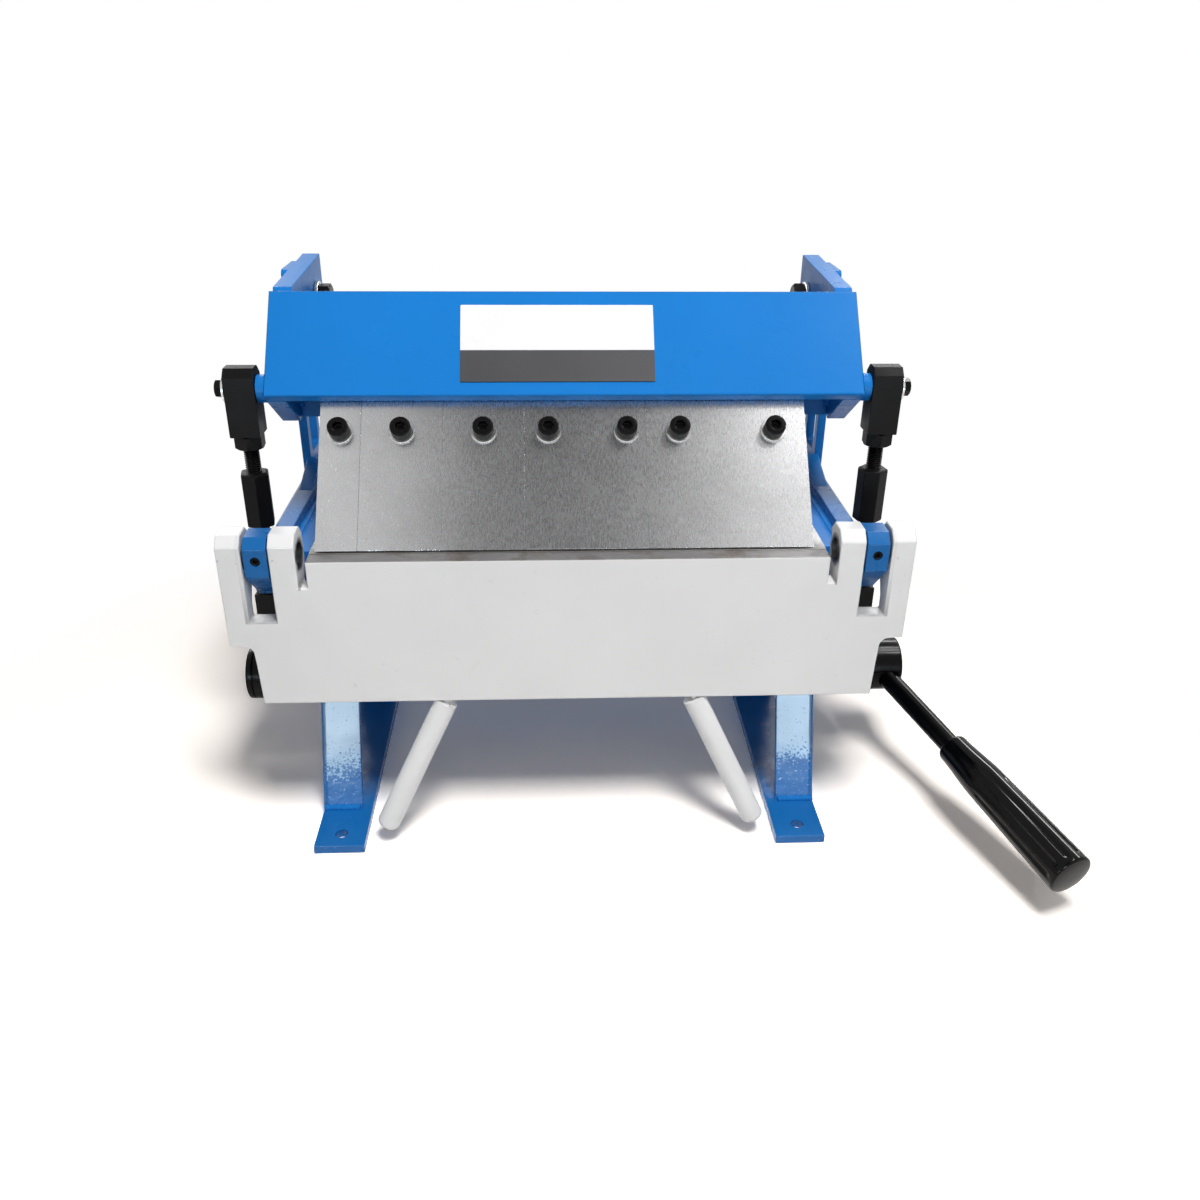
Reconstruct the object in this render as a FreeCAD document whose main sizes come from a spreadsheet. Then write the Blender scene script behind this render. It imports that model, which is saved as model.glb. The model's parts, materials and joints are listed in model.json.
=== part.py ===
import FreeCAD, Part
import math
import os
import Sketcher

# Bench sheet metal folder: a white bending leaf hinged to a blue base, under a clamping beam with
# five steel fingers that a lever and two tie rods pull down.
# All sizes are in millimetres. Sketches are drawn from the bend line: X to the right, Y to the
# back, Z up, zero on the front top edge of the bed. The row's origin is on the ground, in the
# centre of the four foot holes.

Vector = FreeCAD.Vector
doc = FreeCAD.newDocument("sheet_metal_folder")
sheet = doc.addObject("Spreadsheet::Sheet", "sizes")
parts = []


class Size:
    """A number together with the sheet formula that gives it."""

    def __init__(self, value, text=None):
        self.value = float(value)
        self.text = text if text else "(%.9g)" % self.value

    def __add__(self, other):
        other = as_size(other)
        return Size(self.value + other.value, "(%s + %s)" % (self.text, other.text))

    def __sub__(self, other):
        other = as_size(other)
        return Size(self.value - other.value, "(%s - %s)" % (self.text, other.text))

    def __mul__(self, other):
        other = as_size(other)
        return Size(self.value * other.value, "(%s * %s)" % (self.text, other.text))

    def __truediv__(self, other):
        other = as_size(other)
        return Size(self.value / other.value, "(%s / %s)" % (self.text, other.text))

    def __neg__(self):
        return Size(-self.value, "(0 - %s)" % self.text)

    __radd__ = __add__
    __rmul__ = __mul__

    def __rsub__(self, other):
        return as_size(other) - self


def as_size(number):
    return number if isinstance(number, Size) else Size(number)


def cosine(angle):
    angle = as_size(angle)
    return Size(math.cos(math.radians(angle.value)), "cos(%s * 1 deg)" % angle.text)


def sine(angle):
    angle = as_size(angle)
    return Size(math.sin(math.radians(angle.value)), "sin(%s * 1 deg)" % angle.text)


def size(name, value):
    """Put one driving size in the sheet."""
    size.row += 1
    sheet.set("A%d" % size.row, name)
    sheet.set("B%d" % size.row, "%.9g" % value)
    sheet.setAlias("B%d" % size.row, name)
    return Size(value, "sizes." + name)


size.row = 0

# Base
bed_height = size("bed_height", 200)
bend_offset = size("bend_offset", 98)
bed_depth = size("bed_depth", 60)
bed_thick = size("bed_thick", 16)
leaf_gap = size("leaf_gap", 0.3)
cross_front = size("cross_front", 40)
cross_back = size("cross_back", 200)
cross_thick = size("cross_thick", 12)
bed_bolt_pitch = size("bed_bolt_pitch", 80)
plate_inner = size("plate_inner", 180)
plate_thick = size("plate_thick", 14)
plate_drop = size("plate_drop", 7)
plate_back = size("plate_back", 207)
plate_low = size("plate_low", 45)
plate_bevel = size("plate_bevel", 3)
nose_front = size("nose_front", 11.3)
nose_top = size("nose_top", 13.7)
nose_back = size("nose_back", 14.7)
nose_bevel = size("nose_bevel", 6)
nose_chin = size("nose_chin", 10.3)
chin_back = size("chin_back", 12)
chin_low = size("chin_low", 32)
belly_front = size("belly_front", 56)
post_thick = size("post_thick", 6)
post_inner = plate_inner + plate_thick - post_thick
post_front = size("post_front", 167)
post_depth = size("post_depth", 40)
post_top = size("post_top", 138)
post_strip = size("post_strip", 8)
window_low = size("window_low", 5)
window_high = size("window_high", 90)
gusset_front = size("gusset_front", 127)
gusset_high = size("gusset_high", 4.5)
gusset_width = size("gusset_width", 10)
gusset_top = size("gusset_top", 4)
foot_width = size("foot_width", 33)
foot_thick = size("foot_thick", 6)
foot_length = size("foot_length", 265)
foot_hole = size("foot_hole", 8.5)
foot_hole_inset = size("foot_hole_inset", 17.3)
foot_hole_end = size("foot_hole_end", 12.5)
foot_hole_pitch = foot_length - 2 * foot_hole_end
leg_inset = size("leg_inset", 9.7)
leg_width = size("leg_width", 27)
leg_thick = size("leg_thick", 4)
leg_front = size("leg_front", 5)
leg_lean = size("leg_lean", 20.6)
leg_corner = size("leg_corner", 4)
foot_inset = size("foot_inset", 1)
leg_outer = plate_inner - leg_inset
foot_inner = leg_outer - foot_inset - foot_width
foot_hole_half = leg_outer - foot_hole_inset

# Hinge of the leaf
pin_size = size("pin_size", 14)
pin_set = size("pin_set", 3)
pin_play = size("pin_play", 0.05)
bush_size = size("bush_size", 17)
grub_size = size("grub_size", 6)
grub_gap = size("grub_gap", 0.1)
grub_sink = size("grub_sink", 0.5)
grub_socket = size("grub_socket", 3)

# Leaf
leaf_thick = size("leaf_thick", 12)
ear_gap = size("ear_gap", 1.3)
leaf_low = size("leaf_low", 98)
leaf_taper = size("leaf_taper", 1.5)
bed_step = size("bed_step", 5.4)
notch_low = size("notch_low", 17.6)
ear_play = size("ear_play", 1)
ear_inner_width = size("ear_inner_width", 15.6)
slot_low = size("slot_low", 35.2)
ear_outer_width = size("ear_outer_width", 14.4)
ear_bottom = size("ear_bottom", 56.5)
ear_top = size("ear_top", 15.5)
ear_back = size("ear_back", 13)
ear_bevel = size("ear_bevel", 6)
ear_root = size("ear_root", 32)
ear_fillet = size("ear_fillet", 6)
handle_size = size("handle_size", 15)
handle_start = size("handle_start", 78.2)
handle_aside = size("handle_aside", 42.2)
handle_forward = size("handle_forward", 14.5)
handle_drop = size("handle_drop", 86)
handle_length = size("handle_length", 102)
handle_round = size("handle_round", 4)
spigot_size = size("spigot_size", 7)
spigot_length = size("spigot_length", 10)
handle_collar = size("handle_collar", 4)
leaf_half = plate_inner + plate_thick + ear_gap
ear_inner = plate_inner - ear_play - ear_inner_width
bed_half = ear_inner - bed_step
pin_inner = ear_inner + pin_set
pin_outer = leaf_half + ear_outer_width - pin_set

# Clamping beam and fingers
slope = size("slope", 50)
tip_gap = size("tip_gap", 1)
tip_setback = size("tip_setback", 1.2)
finger_step = size("finger_step", 25.4)
finger_thick = size("finger_thick", 15)
finger_long = size("finger_long", 112)
finger_foot = size("finger_foot", 12)
finger_relief = size("finger_relief", 22)
finger_play = size("finger_play", 0.1)
row_shift = size("row_shift", -2)
screw_rise = size("screw_rise", 77)
screw_place_4 = size("screw_place_4", 15)
screw_place_5 = size("screw_place_5", 64)
screw_place_6 = size("screw_place_6", 20.8)
screw_place_7 = size("screw_place_7", 80.8)
screw_size = size("screw_size", 8)
screw_head = size("screw_head", 13)
screw_head_high = size("screw_head_high", 8)
screw_hole = size("screw_hole", 9)
screw_bite = size("screw_bite", 14)
hex_key = size("hex_key", 6)
washer_size = size("washer_size", 16)
washer_thick = size("washer_thick", 1.6)
washer_play = size("washer_play", 0.4)
arm_play = size("arm_play", 0.5)
beam_half = post_inner - arm_play
apron_gap = size("apron_gap", 1)
apron_thick = size("apron_thick", 8)
apron_low = size("apron_low", 97)
apron_high = size("apron_high", 169)
apron_edge = size("apron_edge", 0.8)
arm_thick = size("arm_thick", 12)
arm_vertex_y = size("arm_vertex_y", 97)
arm_vertex_z = size("arm_vertex_z", 53)
arm_back = size("arm_back", 212)
arm_back_top = size("arm_back_top", 142)
arm_back_deep = size("arm_back_deep", 52)
arm_heel = size("arm_heel", 36)
arm_past = size("arm_past", 7)
web_front = size("web_front", 100)
web_thick = size("web_thick", 10)
web_low = size("web_low", 55)
bar_low = size("bar_low", 60)
bar_high = size("bar_high", 113)
bar_thick = size("bar_thick", 18)
bar_seat_low = size("bar_seat_low", 57)
bar_past = size("bar_past", 2)
label_left = size("label_left", 67)
label_right = size("label_right", 55)
label_low = size("label_low", 106)
label_high = size("label_high", 158.5)
label_round = size("label_round", 0.5)
label_thick = size("label_thick", 0.8)
pivot_y = size("pivot_y", 187)
pivot_z = size("pivot_z", 115)
pivot_size = size("pivot_size", 12)
pivot_head = size("pivot_head", 19)
pivot_head_high = size("pivot_head_high", 8)
pivot_washer = size("pivot_washer", 24)
pivot_washer_thick = size("pivot_washer_thick", 2.5)
side_play = size("side_play", 0.3)

# Tie rods
tie_play = size("tie_play", 0.8)
tie_y = size("tie_y", 71)
tie_pivot_z = size("tie_pivot_z", 82)
tie_boss = size("tie_boss", 17.5)
tie_pin = size("tie_pin", 12)
tie_block = size("tie_block", 19)
tie_block_low = size("tie_block_low", 52.6)
tie_block_high = size("tie_block_high", 96)
tie_block_bevel = size("tie_block_bevel", 5)
tie_washer = size("tie_washer", 17)
tie_screw = size("tie_screw", 6)
tie_screw_head = size("tie_screw_head", 10)
tie_screw_high = size("tie_screw_high", 5)
tie_screw_bite = size("tie_screw_bite", 12)
nut_flats = size("nut_flats", 17)
nut_high = size("nut_high", 9)
stud_size = size("stud_size", 10)
stud_bite = size("stud_bite", 14)
coupling_low = size("coupling_low", -10)
coupling_high = size("coupling_high", 27.6)
coupling_turn = size("coupling_turn", 12)
coupling_bevel = size("coupling_bevel", 1.2)
eye_top = size("eye_top", 57.5)
eye_size = size("eye_size", 26)
eye_play = size("eye_play", 1.3)
eye_width = size("eye_width", 18)
eye_gap = size("eye_gap", 1.3)
tie_x = plate_inner + plate_thick + nut_flats / 2 + tie_play

# Clamp shaft and lever
shaft_drop = size("shaft_drop", 127.7)
shaft_size = size("shaft_size", 20)
shaft_play = size("shaft_play", 0.05)
throw = size("throw", 10)
throw_angle = size("throw_angle", 35)
crank_size = size("crank_size", 14)
crank_web = size("crank_web", 40)
crank_web_thick = size("crank_web_thick", 10)
journal_size = size("journal_size", 16)
disc_gap = size("disc_gap", 0.4)
disc_wide = size("disc_wide", 13.3)
disc_size = size("disc_size", 37.7)
disc_bevel = size("disc_bevel", 0.6)
disc_groove = size("disc_groove", 0.8)
disc_rim = size("disc_rim", 4.2)
hub_wide = size("hub_wide", 27)
hub_size = size("hub_size", 38.5)
hub_bevel = size("hub_bevel", 1)
hub_wall = size("hub_wall", 4)
hanger_gap = size("hanger_gap", 1.2)
hanger_thick = size("hanger_thick", 8)
hanger_half = size("hanger_half", 20)
shaft_bush = size("shaft_bush", 26)
bush_past = size("bush_past", 1)
lever_out = size("lever_out", 11.5)
lever_down = size("lever_down", 10)
lever_aside = size("lever_aside", 20)
lever_rod = size("lever_rod", 14)
rod_root = size("rod_root", 11.5)
grip_start = size("grip_start", 93)
grip_length = size("grip_length", 115.8)
grip_small = size("grip_small", 21)
grip_swell = size("grip_swell", 26)
grip_swell_at = size("grip_swell_at", 38)
grip_large = size("grip_large", 29.2)
grip_bevel = size("grip_bevel", 1.5)
grip_dome = size("grip_dome", 1)
grip_round = size("grip_round", 1.8)
flute_size = size("flute_size", 6)
flute_start = size("flute_start", 36)
flute_end = size("flute_end", 4.5)
flute_deep = size("flute_deep", 1.7)
tang_length = size("tang_length", 50)
hanger_inner = leg_outer + hanger_gap
crank_web_out = tie_x - eye_width / 2 - eye_gap
crank_web_in = crank_web_out - crank_web_thick
journal_start = tie_x + eye_width / 2 + eye_gap
disc_start = journal_start + disc_gap
disc_end = disc_start + disc_wide
hub_end = disc_start + hub_wide
lever_x = disc_start + lever_out

# Bolts under the bed and behind the finger bar
bolt_size = size("bolt_size", 8)
bolt_head = size("bolt_head", 13)
bolt_head_high = size("bolt_head_high", 5.3)
bed_bolt_bite = size("bed_bolt_bite", 10)
bed_bolt_y = size("bed_bolt_y", 50)
bar_bolt_z = size("bar_bolt_z", 67.5)
bar_bolt_pitch = size("bar_bolt_pitch", 80)
bar_bolt_bite = size("bar_bolt_bite", 14)
doc.recompute()

shaft_y = tie_y + throw * cosine(throw_angle)
crank_drop = shaft_drop + throw * sine(throw_angle)
slope_c = cosine(slope)
slope_s = sine(slope)


def bind(thing, prop, amount):
    """Let a property follow a size of the sheet."""
    amount = as_size(amount)
    thing.setExpression(prop, amount.text)


def new_body(label, x=0, y=0, z=0, turn=None):
    """A sub-part whose sketches are drawn from the bend line, or from x, y, z on it."""
    body = doc.addObject("PartDesign::Body", label)
    body.Label = label
    body.AllowCompound = True
    if turn is not None:
        body.Placement = FreeCAD.Placement(Vector(), FreeCAD.Rotation(Vector(1, 0, 0), turn.value))
        bind(body, "Placement.Rotation.Angle", turn)
    bind(body, "Placement.Base.x", as_size(x))
    bind(body, "Placement.Base.y", as_size(y) - bend_offset)
    bind(body, "Placement.Base.z", as_size(z) + bed_height)
    parts.append(body)
    return body


def sketch_on(body, plane, start, shapes):
    """A sketch on one of the body's planes, moved along its normal by start."""
    sketch = body.newObject("Sketcher::SketchObject", body.Name + "_sketch")
    base = [item for item in body.Origin.OriginFeatures if item.Role == plane + "_Plane"][0]
    sketch.AttachmentSupport = [(base, "")]
    sketch.MapMode = "FlatFace"
    bind(sketch, "AttachmentOffset.Base.z", start)
    for shape in shapes:
        if shape[0] == "circle":
            add_circle(sketch, shape)
        else:
            add_polygon(sketch, shape)
    return sketch


def fix_point(sketch, index, place, x, y):
    """Hold a point of the sketch at two sizes."""
    for kind, amount in (("DistanceX", as_size(x)), ("DistanceY", as_size(y))):
        number = sketch.addConstraint(Sketcher.Constraint(kind, index, place, amount.value))
        bind(sketch, "Constraints[%d]" % number, amount)


def add_circle(sketch, shape):
    word, x, y, diameter = shape
    radius = as_size(diameter) / 2
    centre = Vector(as_size(x).value, as_size(y).value, 0)
    index = sketch.addGeometry(Part.Circle(centre, Vector(0, 0, 1), radius.value), False)
    fix_point(sketch, index, 3, x, y)
    number = sketch.addConstraint(Sketcher.Constraint("Radius", index, radius.value))
    bind(sketch, "Constraints[%d]" % number, radius)


def add_polygon(sketch, points):
    spots = [Vector(as_size(x).value, as_size(y).value, 0) for x, y in points]
    count = len(spots)
    first = sketch.GeometryCount
    for i in range(count):
        sketch.addGeometry(Part.LineSegment(spots[i], spots[(i + 1) % count]), False)
    for i in range(count):
        follower = first + (i + 1) % count
        sketch.addConstraint(Sketcher.Constraint("Coincident", first + i, 2, follower, 1))
    for i in range(count):
        fix_point(sketch, first + i, 1, points[i][0], points[i][1])


def pad(body, plane, start, length, shapes):
    """Add a slab. It grows along the plane's normal: X for YZ, minus Y for XZ, Z for XY."""
    sketch = sketch_on(body, plane, start, shapes)
    feature = body.newObject("PartDesign::Pad", body.Name + "_pad")
    feature.Profile = sketch
    bind(feature, "Length", length)
    return feature


def cut(body, plane, start, length, shapes):
    """Cut a slab away, from start against the plane's normal."""
    doc.recompute()
    before = body.Shape.Volume
    sketch = sketch_on(body, plane, start, shapes)
    feature = body.newObject("PartDesign::Pocket", body.Name + "_pocket")
    feature.Profile = sketch
    bind(feature, "Length", length)
    doc.recompute()
    if body.Shape.Volume > before - 0.01:
        raise RuntimeError("nothing was cut from " + body.Label)
    return feature


def dress(body, kind, amount, test):
    """Fillet or chamfer the edges of the latest feature that pass a test."""
    doc.recompute()
    last = body.Tip
    names = []
    for number, edge in enumerate(last.Shape.Edges, start=1):
        if test(edge):
            names.append("Edge%d" % number)
    if not names:
        raise RuntimeError("no edge to dress on " + body.Label)
    feature = body.newObject("PartDesign::" + kind, body.Name + "_" + kind.lower())
    feature.Base = (last, names)
    bind(feature, "Radius" if kind == "Fillet" else "Size", amount)
    return feature


def ends(edge):
    return edge.Vertexes[0].Point, edge.Vertexes[-1].Point


def is_along(edge, axis):
    """True for a straight edge parallel to an axis."""
    if edge.Curve.TypeId != "Part::GeomLine":
        return False
    return abs(abs(edge.Curve.Direction.dot(axis)) - 1) < 1e-6


def near(number, amount):
    return abs(number - as_size(amount).value) < 0.05


def hexagon(x, y, flats, turn=0):
    """Corners of a hexagon with its flats towards plus and minus x."""
    reach = flats / 2 / math.cos(math.radians(30))
    corners = []
    for i in range(6):
        angle = turn + 30 + 60 * i
        corners.append((x + reach * cosine(angle), y + reach * sine(angle)))
    return corners


def spot(rise, depth):
    """Y and Z of a point given along the finger face and behind it."""
    y = tip_setback + rise * slope_c + depth * slope_s
    return y, tip_gap + rise * slope_s - depth * slope_c


def along_slope(y, z):
    """The reverse: distance along the finger face and out of it."""
    back = as_size(y) - tip_setback
    level = as_size(z) - tip_gap
    return back * slope_c + level * slope_s, level * slope_c - back * slope_s


def from_inner(side, inner, width):
    """Start of a slab that lies between inner and inner + width on one side."""
    return inner if side > 0 else -(inner + width)


X_AXIS = Vector(1, 0, 0)
Y_AXIS = Vector(0, 1, 0)
Z_AXIS = Vector(0, 0, 1)
SIDES = ((-1, "left"), (1, "right"))

# Base cross plate and the bare bed bar on it
bed_bolt_xs = [bed_bolt_pitch * place for place in (-1.5, -0.5, 0.5, 1.5)]
body = new_body("base_cross_plate")
plate_z = -bed_thick - cross_thick
pad(body, "XY", plate_z, cross_thick,
    [[(-plate_inner, cross_front), (plate_inner, cross_front),
      (plate_inner, cross_back), (-plate_inner, cross_back)]]
    + [("circle", x, bed_bolt_y, screw_hole) for x in bed_bolt_xs])

body = new_body("bed_bar")
pad(body, "XY", -bed_thick, bed_thick,
    [[(-bed_half, leaf_gap), (bed_half, leaf_gap), (bed_half, bed_depth), (-bed_half, bed_depth)]])
cut(body, "XY", bed_bolt_bite - bed_thick, bed_bolt_bite,
    [("circle", x, bed_bolt_y, bolt_size) for x in bed_bolt_xs])

body = new_body("bed_bolts")
for x in bed_bolt_xs:
    pad(body, "XY", plate_z - bolt_head_high, bolt_head_high, [hexagon(x, bed_bolt_y, bolt_head)])
    pad(body, "XY", plate_z, cross_thick + bed_bolt_bite, [("circle", x, bed_bolt_y, bolt_size)])

for side, name in SIDES:
    # Side plate: one plate with the hinge nose at its front end
    body = new_body("side_plate_" + name)
    pad(body, "YZ", from_inner(side, plate_inner, plate_thick), plate_thick,
        [[(-nose_front, -nose_chin), (-nose_front, nose_top - nose_bevel),
          (-nose_front + nose_bevel, nose_top), (nose_back - nose_bevel, nose_top),
          (nose_back, nose_top - nose_bevel), (nose_back, -plate_drop), (plate_back, -plate_drop),
          (plate_back, -plate_low), (belly_front, -plate_low), (chin_back, -chin_low)],
         ("circle", 0, 0, pin_size)])
    outer = side * (plate_inner + plate_thick).value
    dress(body, "Chamfer", plate_bevel, lambda edge: is_along(edge, Y_AXIS)
          and near(ends(edge)[0].z, -plate_drop) and near(ends(edge)[0].x, outer))
    plate_mid = side * (plate_inner + plate_thick / 2)
    cut(body, "XZ", nose_front + 1, nose_front + 1 - pin_size / 4, [("circle", plate_mid, 0, grub_size)])

    # Rear post with its window
    body = new_body("post_" + name)
    post_back = post_front + post_depth
    pad(body, "YZ", from_inner(side, post_inner, post_thick), post_thick,
        [[(post_front, -plate_drop), (post_back, -plate_drop), (post_back, post_top),
          (post_front, post_top)],
         [(post_front + post_strip, window_low), (post_back - post_strip, window_low),
          (post_back - post_strip, window_high), (post_front + post_strip, window_high)],
         ("circle", pivot_y, pivot_z, pivot_size)])
    dress(body, "Fillet", post_strip / 2, lambda edge: is_along(edge, X_AXIS)
          and (near(ends(edge)[0].z, window_low) or near(ends(edge)[0].z, window_high)
               or near(ends(edge)[0].z, post_top)))

    # Small wedge at the post's foot
    body = new_body("post_gusset_" + name)
    pad(body, "YZ", from_inner(side, plate_inner, gusset_width), gusset_width,
        [[(gusset_front, -plate_drop), (post_front, -plate_drop), (post_front, gusset_high),
          (post_front - gusset_top, gusset_high)]])

    # Foot bar with a bolt hole at each end
    body = new_body("foot_bar_" + name)
    foot_x = from_inner(side, foot_inner, foot_width)
    foot_front = bend_offset - foot_length / 2
    foot_back = bend_offset + foot_length / 2
    pad(body, "XY", -bed_height, foot_thick,
        [[(foot_x, foot_front), (foot_x + foot_width, foot_front),
          (foot_x + foot_width, foot_back), (foot_x, foot_back)],
         ("circle", side * foot_hole_half, bend_offset - foot_hole_pitch / 2, foot_hole),
         ("circle", side * foot_hole_half, bend_offset + foot_hole_pitch / 2, foot_hole)])

    # Front and rear leg of angle section, leaning towards each other
    for way, place in ((1, "front"), (-1, "rear")):
        body = new_body("leg_%s_%s" % (place, name))

        def leg_spot(x, y):
            """A corner of the section, given from the outer front corner of the leg."""
            across = side * (leg_outer - x)
            depth = leg_front + y
            return across, depth if way > 0 else bend_offset * 2 - depth

        leg_deep = leg_width / cosine(leg_lean)
        wall_deep = leg_thick / cosine(leg_lean)
        leg_high = bed_height - foot_thick - bed_thick - cross_thick
        feature = pad(body, "XY", foot_thick - bed_height, leg_high,
                      [[leg_spot(0, 0), leg_spot(leg_width, 0), leg_spot(leg_width, wall_deep),
                        leg_spot(leg_thick, wall_deep), leg_spot(leg_thick, leg_deep),
                        leg_spot(0, leg_deep)]])
        feature.UseCustomVector = True
        feature.AlongSketchNormal = True
        feature.Direction = Vector(0, 0.4 * way, 1)
        bind(feature, "Direction.y", way * sine(leg_lean) / cosine(leg_lean))
        edge_x = side * leg_outer.value
        edge_y = leg_spot(0, 0)[1].value
        dress(body, "Fillet", leg_corner, lambda edge: near(ends(edge)[0].x, edge_x)
              and near(ends(edge)[1].x, edge_x)
              and min(abs(point.y - edge_y) for point in ends(edge)) < 0.05
              and abs(ends(edge)[0].z - ends(edge)[1].z) > leg_high.value / 2)

    # Hanger plate for the clamp shaft
    body = new_body("shaft_hanger_" + name)
    low = -shaft_drop - hanger_half
    step = hanger_half * 0.6
    pad(body, "YZ", from_inner(side, hanger_inner, hanger_thick), hanger_thick,
        [[(shaft_y - hanger_half, plate_z), (shaft_y + hanger_half, plate_z),
          (shaft_y + hanger_half, low + step), (shaft_y + hanger_half - step, low),
          (shaft_y - hanger_half + step, low), (shaft_y - hanger_half, low + step)],
         ("circle", shaft_y, -shaft_drop, shaft_bush)])

# Bushes of the clamp shaft
bush_long = hanger_thick + bush_past * 2
body = new_body("shaft_bushes")
for side, name in SIDES:
    pad(body, "YZ", from_inner(side, hanger_inner - bush_past, bush_long), bush_long,
        [("circle", shaft_y, -shaft_drop, shaft_bush),
         ("circle", shaft_y, -shaft_drop, shaft_size + shaft_play * 2)])

# Hinge pins in the noses, with the grub screws that hold them
body = new_body("hinge_pins")
for side, name in SIDES:
    pad(body, "YZ", from_inner(side, pin_inner, pin_outer - pin_inner), pin_outer - pin_inner,
        [("circle", 0, 0, pin_size)])

body = new_body("nose_screws")
for side, name in SIDES:
    plate_mid = side * (plate_inner + plate_thick / 2)
    pad(body, "XZ", pin_size / 2 + grub_gap, nose_front - pin_size / 2 - grub_gap - grub_sink,
        [("circle", plate_mid, 0, grub_size)])
for side, name in SIDES:
    plate_mid = side * (plate_inner + plate_thick / 2)
    cut(body, "XZ", nose_front, grub_socket, [hexagon(plate_mid, 0, grub_size / 2)])

# Bending leaf: the plate with its slots, then the four ears
body = new_body("bending_leaf")
ear_x = ear_inner + ear_inner_width
ear_end = leaf_half + ear_outer_width
right_half = [(bed_half, 0), (bed_half, -notch_low), (ear_inner, -notch_low), (ear_inner, 0),
              (ear_x, 0), (ear_x, -slot_low), (leaf_half, -slot_low), (leaf_half, 0),
              (ear_end, 0), (ear_end, -ear_bottom), (leaf_half, -ear_bottom),
              (leaf_half - leaf_taper, -leaf_low)]
left_half = [(-x, z) for x, z in reversed(right_half)]
pad(body, "XZ", 0, leaf_thick, [right_half + left_half])
dress(body, "Fillet", ear_fillet, lambda edge: is_along(edge, Y_AXIS)
      and near(abs(ends(edge)[0].x), leaf_half) and near(ends(edge)[0].z, -ear_bottom))
ear_shape = [(-leaf_thick, -ear_root), (-leaf_thick, ear_top - ear_bevel),
             (-leaf_thick + ear_bevel, ear_top), (ear_back - ear_bevel, ear_top),
             (ear_back, ear_top - ear_bevel), (ear_back, -ear_bevel), (0, -ear_root)]
for side, name in SIDES:
    for inner, width in ((ear_inner, ear_inner_width), (leaf_half, ear_outer_width)):
        pad(body, "YZ", from_inner(side, inner, width), width, [ear_shape])
for side, name in SIDES:
    for inner, width in ((ear_inner, ear_inner_width), (leaf_half, ear_outer_width)):
        cut(body, "YZ", from_inner(side, inner, width) + width, width,
            [("circle", 0, 0, bush_size)])
leaf = body

body = new_body("ear_bushes")
for side, name in SIDES:
    for inner, width in ((ear_inner, ear_inner_width), (leaf_half, ear_outer_width)):
        pad(body, "YZ", from_inner(side, inner, width), width,
            [("circle", 0, 0, bush_size), ("circle", 0, 0, pin_size + pin_play * 2)])

# Two round handles in the leaf's lower edge, splayed outwards
handle_reach = Size(math.sqrt(handle_aside.value ** 2 + handle_forward.value ** 2
                              + handle_drop.value ** 2),
                    "sqrt(%s ^ 2 + %s ^ 2 + %s ^ 2)" % (handle_aside.text, handle_forward.text,
                                                        handle_drop.text))
handle_tilt = Size(math.degrees(math.acos(handle_drop.value / handle_reach.value)),
                   "(acos(%s / %s) / 1 deg)" % (handle_drop.text, handle_reach.text))
for side, name in SIDES:
    body = new_body("leaf_handle_" + name, side * handle_start, -leaf_thick / 2, -leaf_low)
    turn = FreeCAD.Rotation(Vector(handle_forward.value, side * handle_aside.value, 0),
                            -handle_tilt.value)
    body.Placement = FreeCAD.Placement(Vector(), turn)
    bind(body, "Placement.Rotation.Axis.x", -handle_forward)
    bind(body, "Placement.Rotation.Axis.y", -side * handle_aside)
    bind(body, "Placement.Rotation.Axis.z", 0)
    bind(body, "Placement.Rotation.Angle", handle_tilt)
    pad(body, "XY", -handle_length, handle_length - handle_collar, [("circle", 0, 0, handle_size)])
    dress(body, "Fillet", handle_round, lambda edge: edge.Curve.TypeId == "Part::GeomCircle"
          and near(edge.Curve.Center.z, -handle_length))
    pad(body, "XY", -handle_length / 2, handle_length / 2 + spigot_length,
        [("circle", 0, 0, spigot_size)])
doc.recompute()

# The leaf's holes for the handles, in line with them
for side, name in SIDES:
    sketch = leaf.newObject("Sketcher::SketchObject", "bending_leaf_bore")
    base = [item for item in leaf.Origin.OriginFeatures if item.Role == "XY_Plane"][0]
    sketch.AttachmentSupport = [(base, "")]
    sketch.MapMode = "FlatFace"
    turn = FreeCAD.Rotation(Vector(-handle_forward.value, -side * handle_aside.value, 0),
                            handle_tilt.value)
    sketch.AttachmentOffset = FreeCAD.Placement(Vector(), turn)
    bind(sketch, "AttachmentOffset.Rotation.Axis.x", -handle_forward)
    bind(sketch, "AttachmentOffset.Rotation.Axis.y", -side * handle_aside)
    bind(sketch, "AttachmentOffset.Rotation.Axis.z", 0)
    bind(sketch, "AttachmentOffset.Rotation.Angle", handle_tilt)
    bind(sketch, "AttachmentOffset.Base.x", side * handle_start)
    bind(sketch, "AttachmentOffset.Base.y", -leaf_thick / 2)
    bind(sketch, "AttachmentOffset.Base.z", -leaf_low)
    add_circle(sketch, ("circle", 0, 0, spigot_size))
    feature = leaf.newObject("PartDesign::Pocket", "bending_leaf_bore_cut")
    feature.Profile = sketch
    feature.Midplane = True
    bind(feature, "Length", spigot_length * 2)
    before = leaf.Shape.Volume
    doc.recompute()
    if leaf.Shape.Volume > before - 1:
        raise RuntimeError("no handle bore in the leaf")

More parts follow.
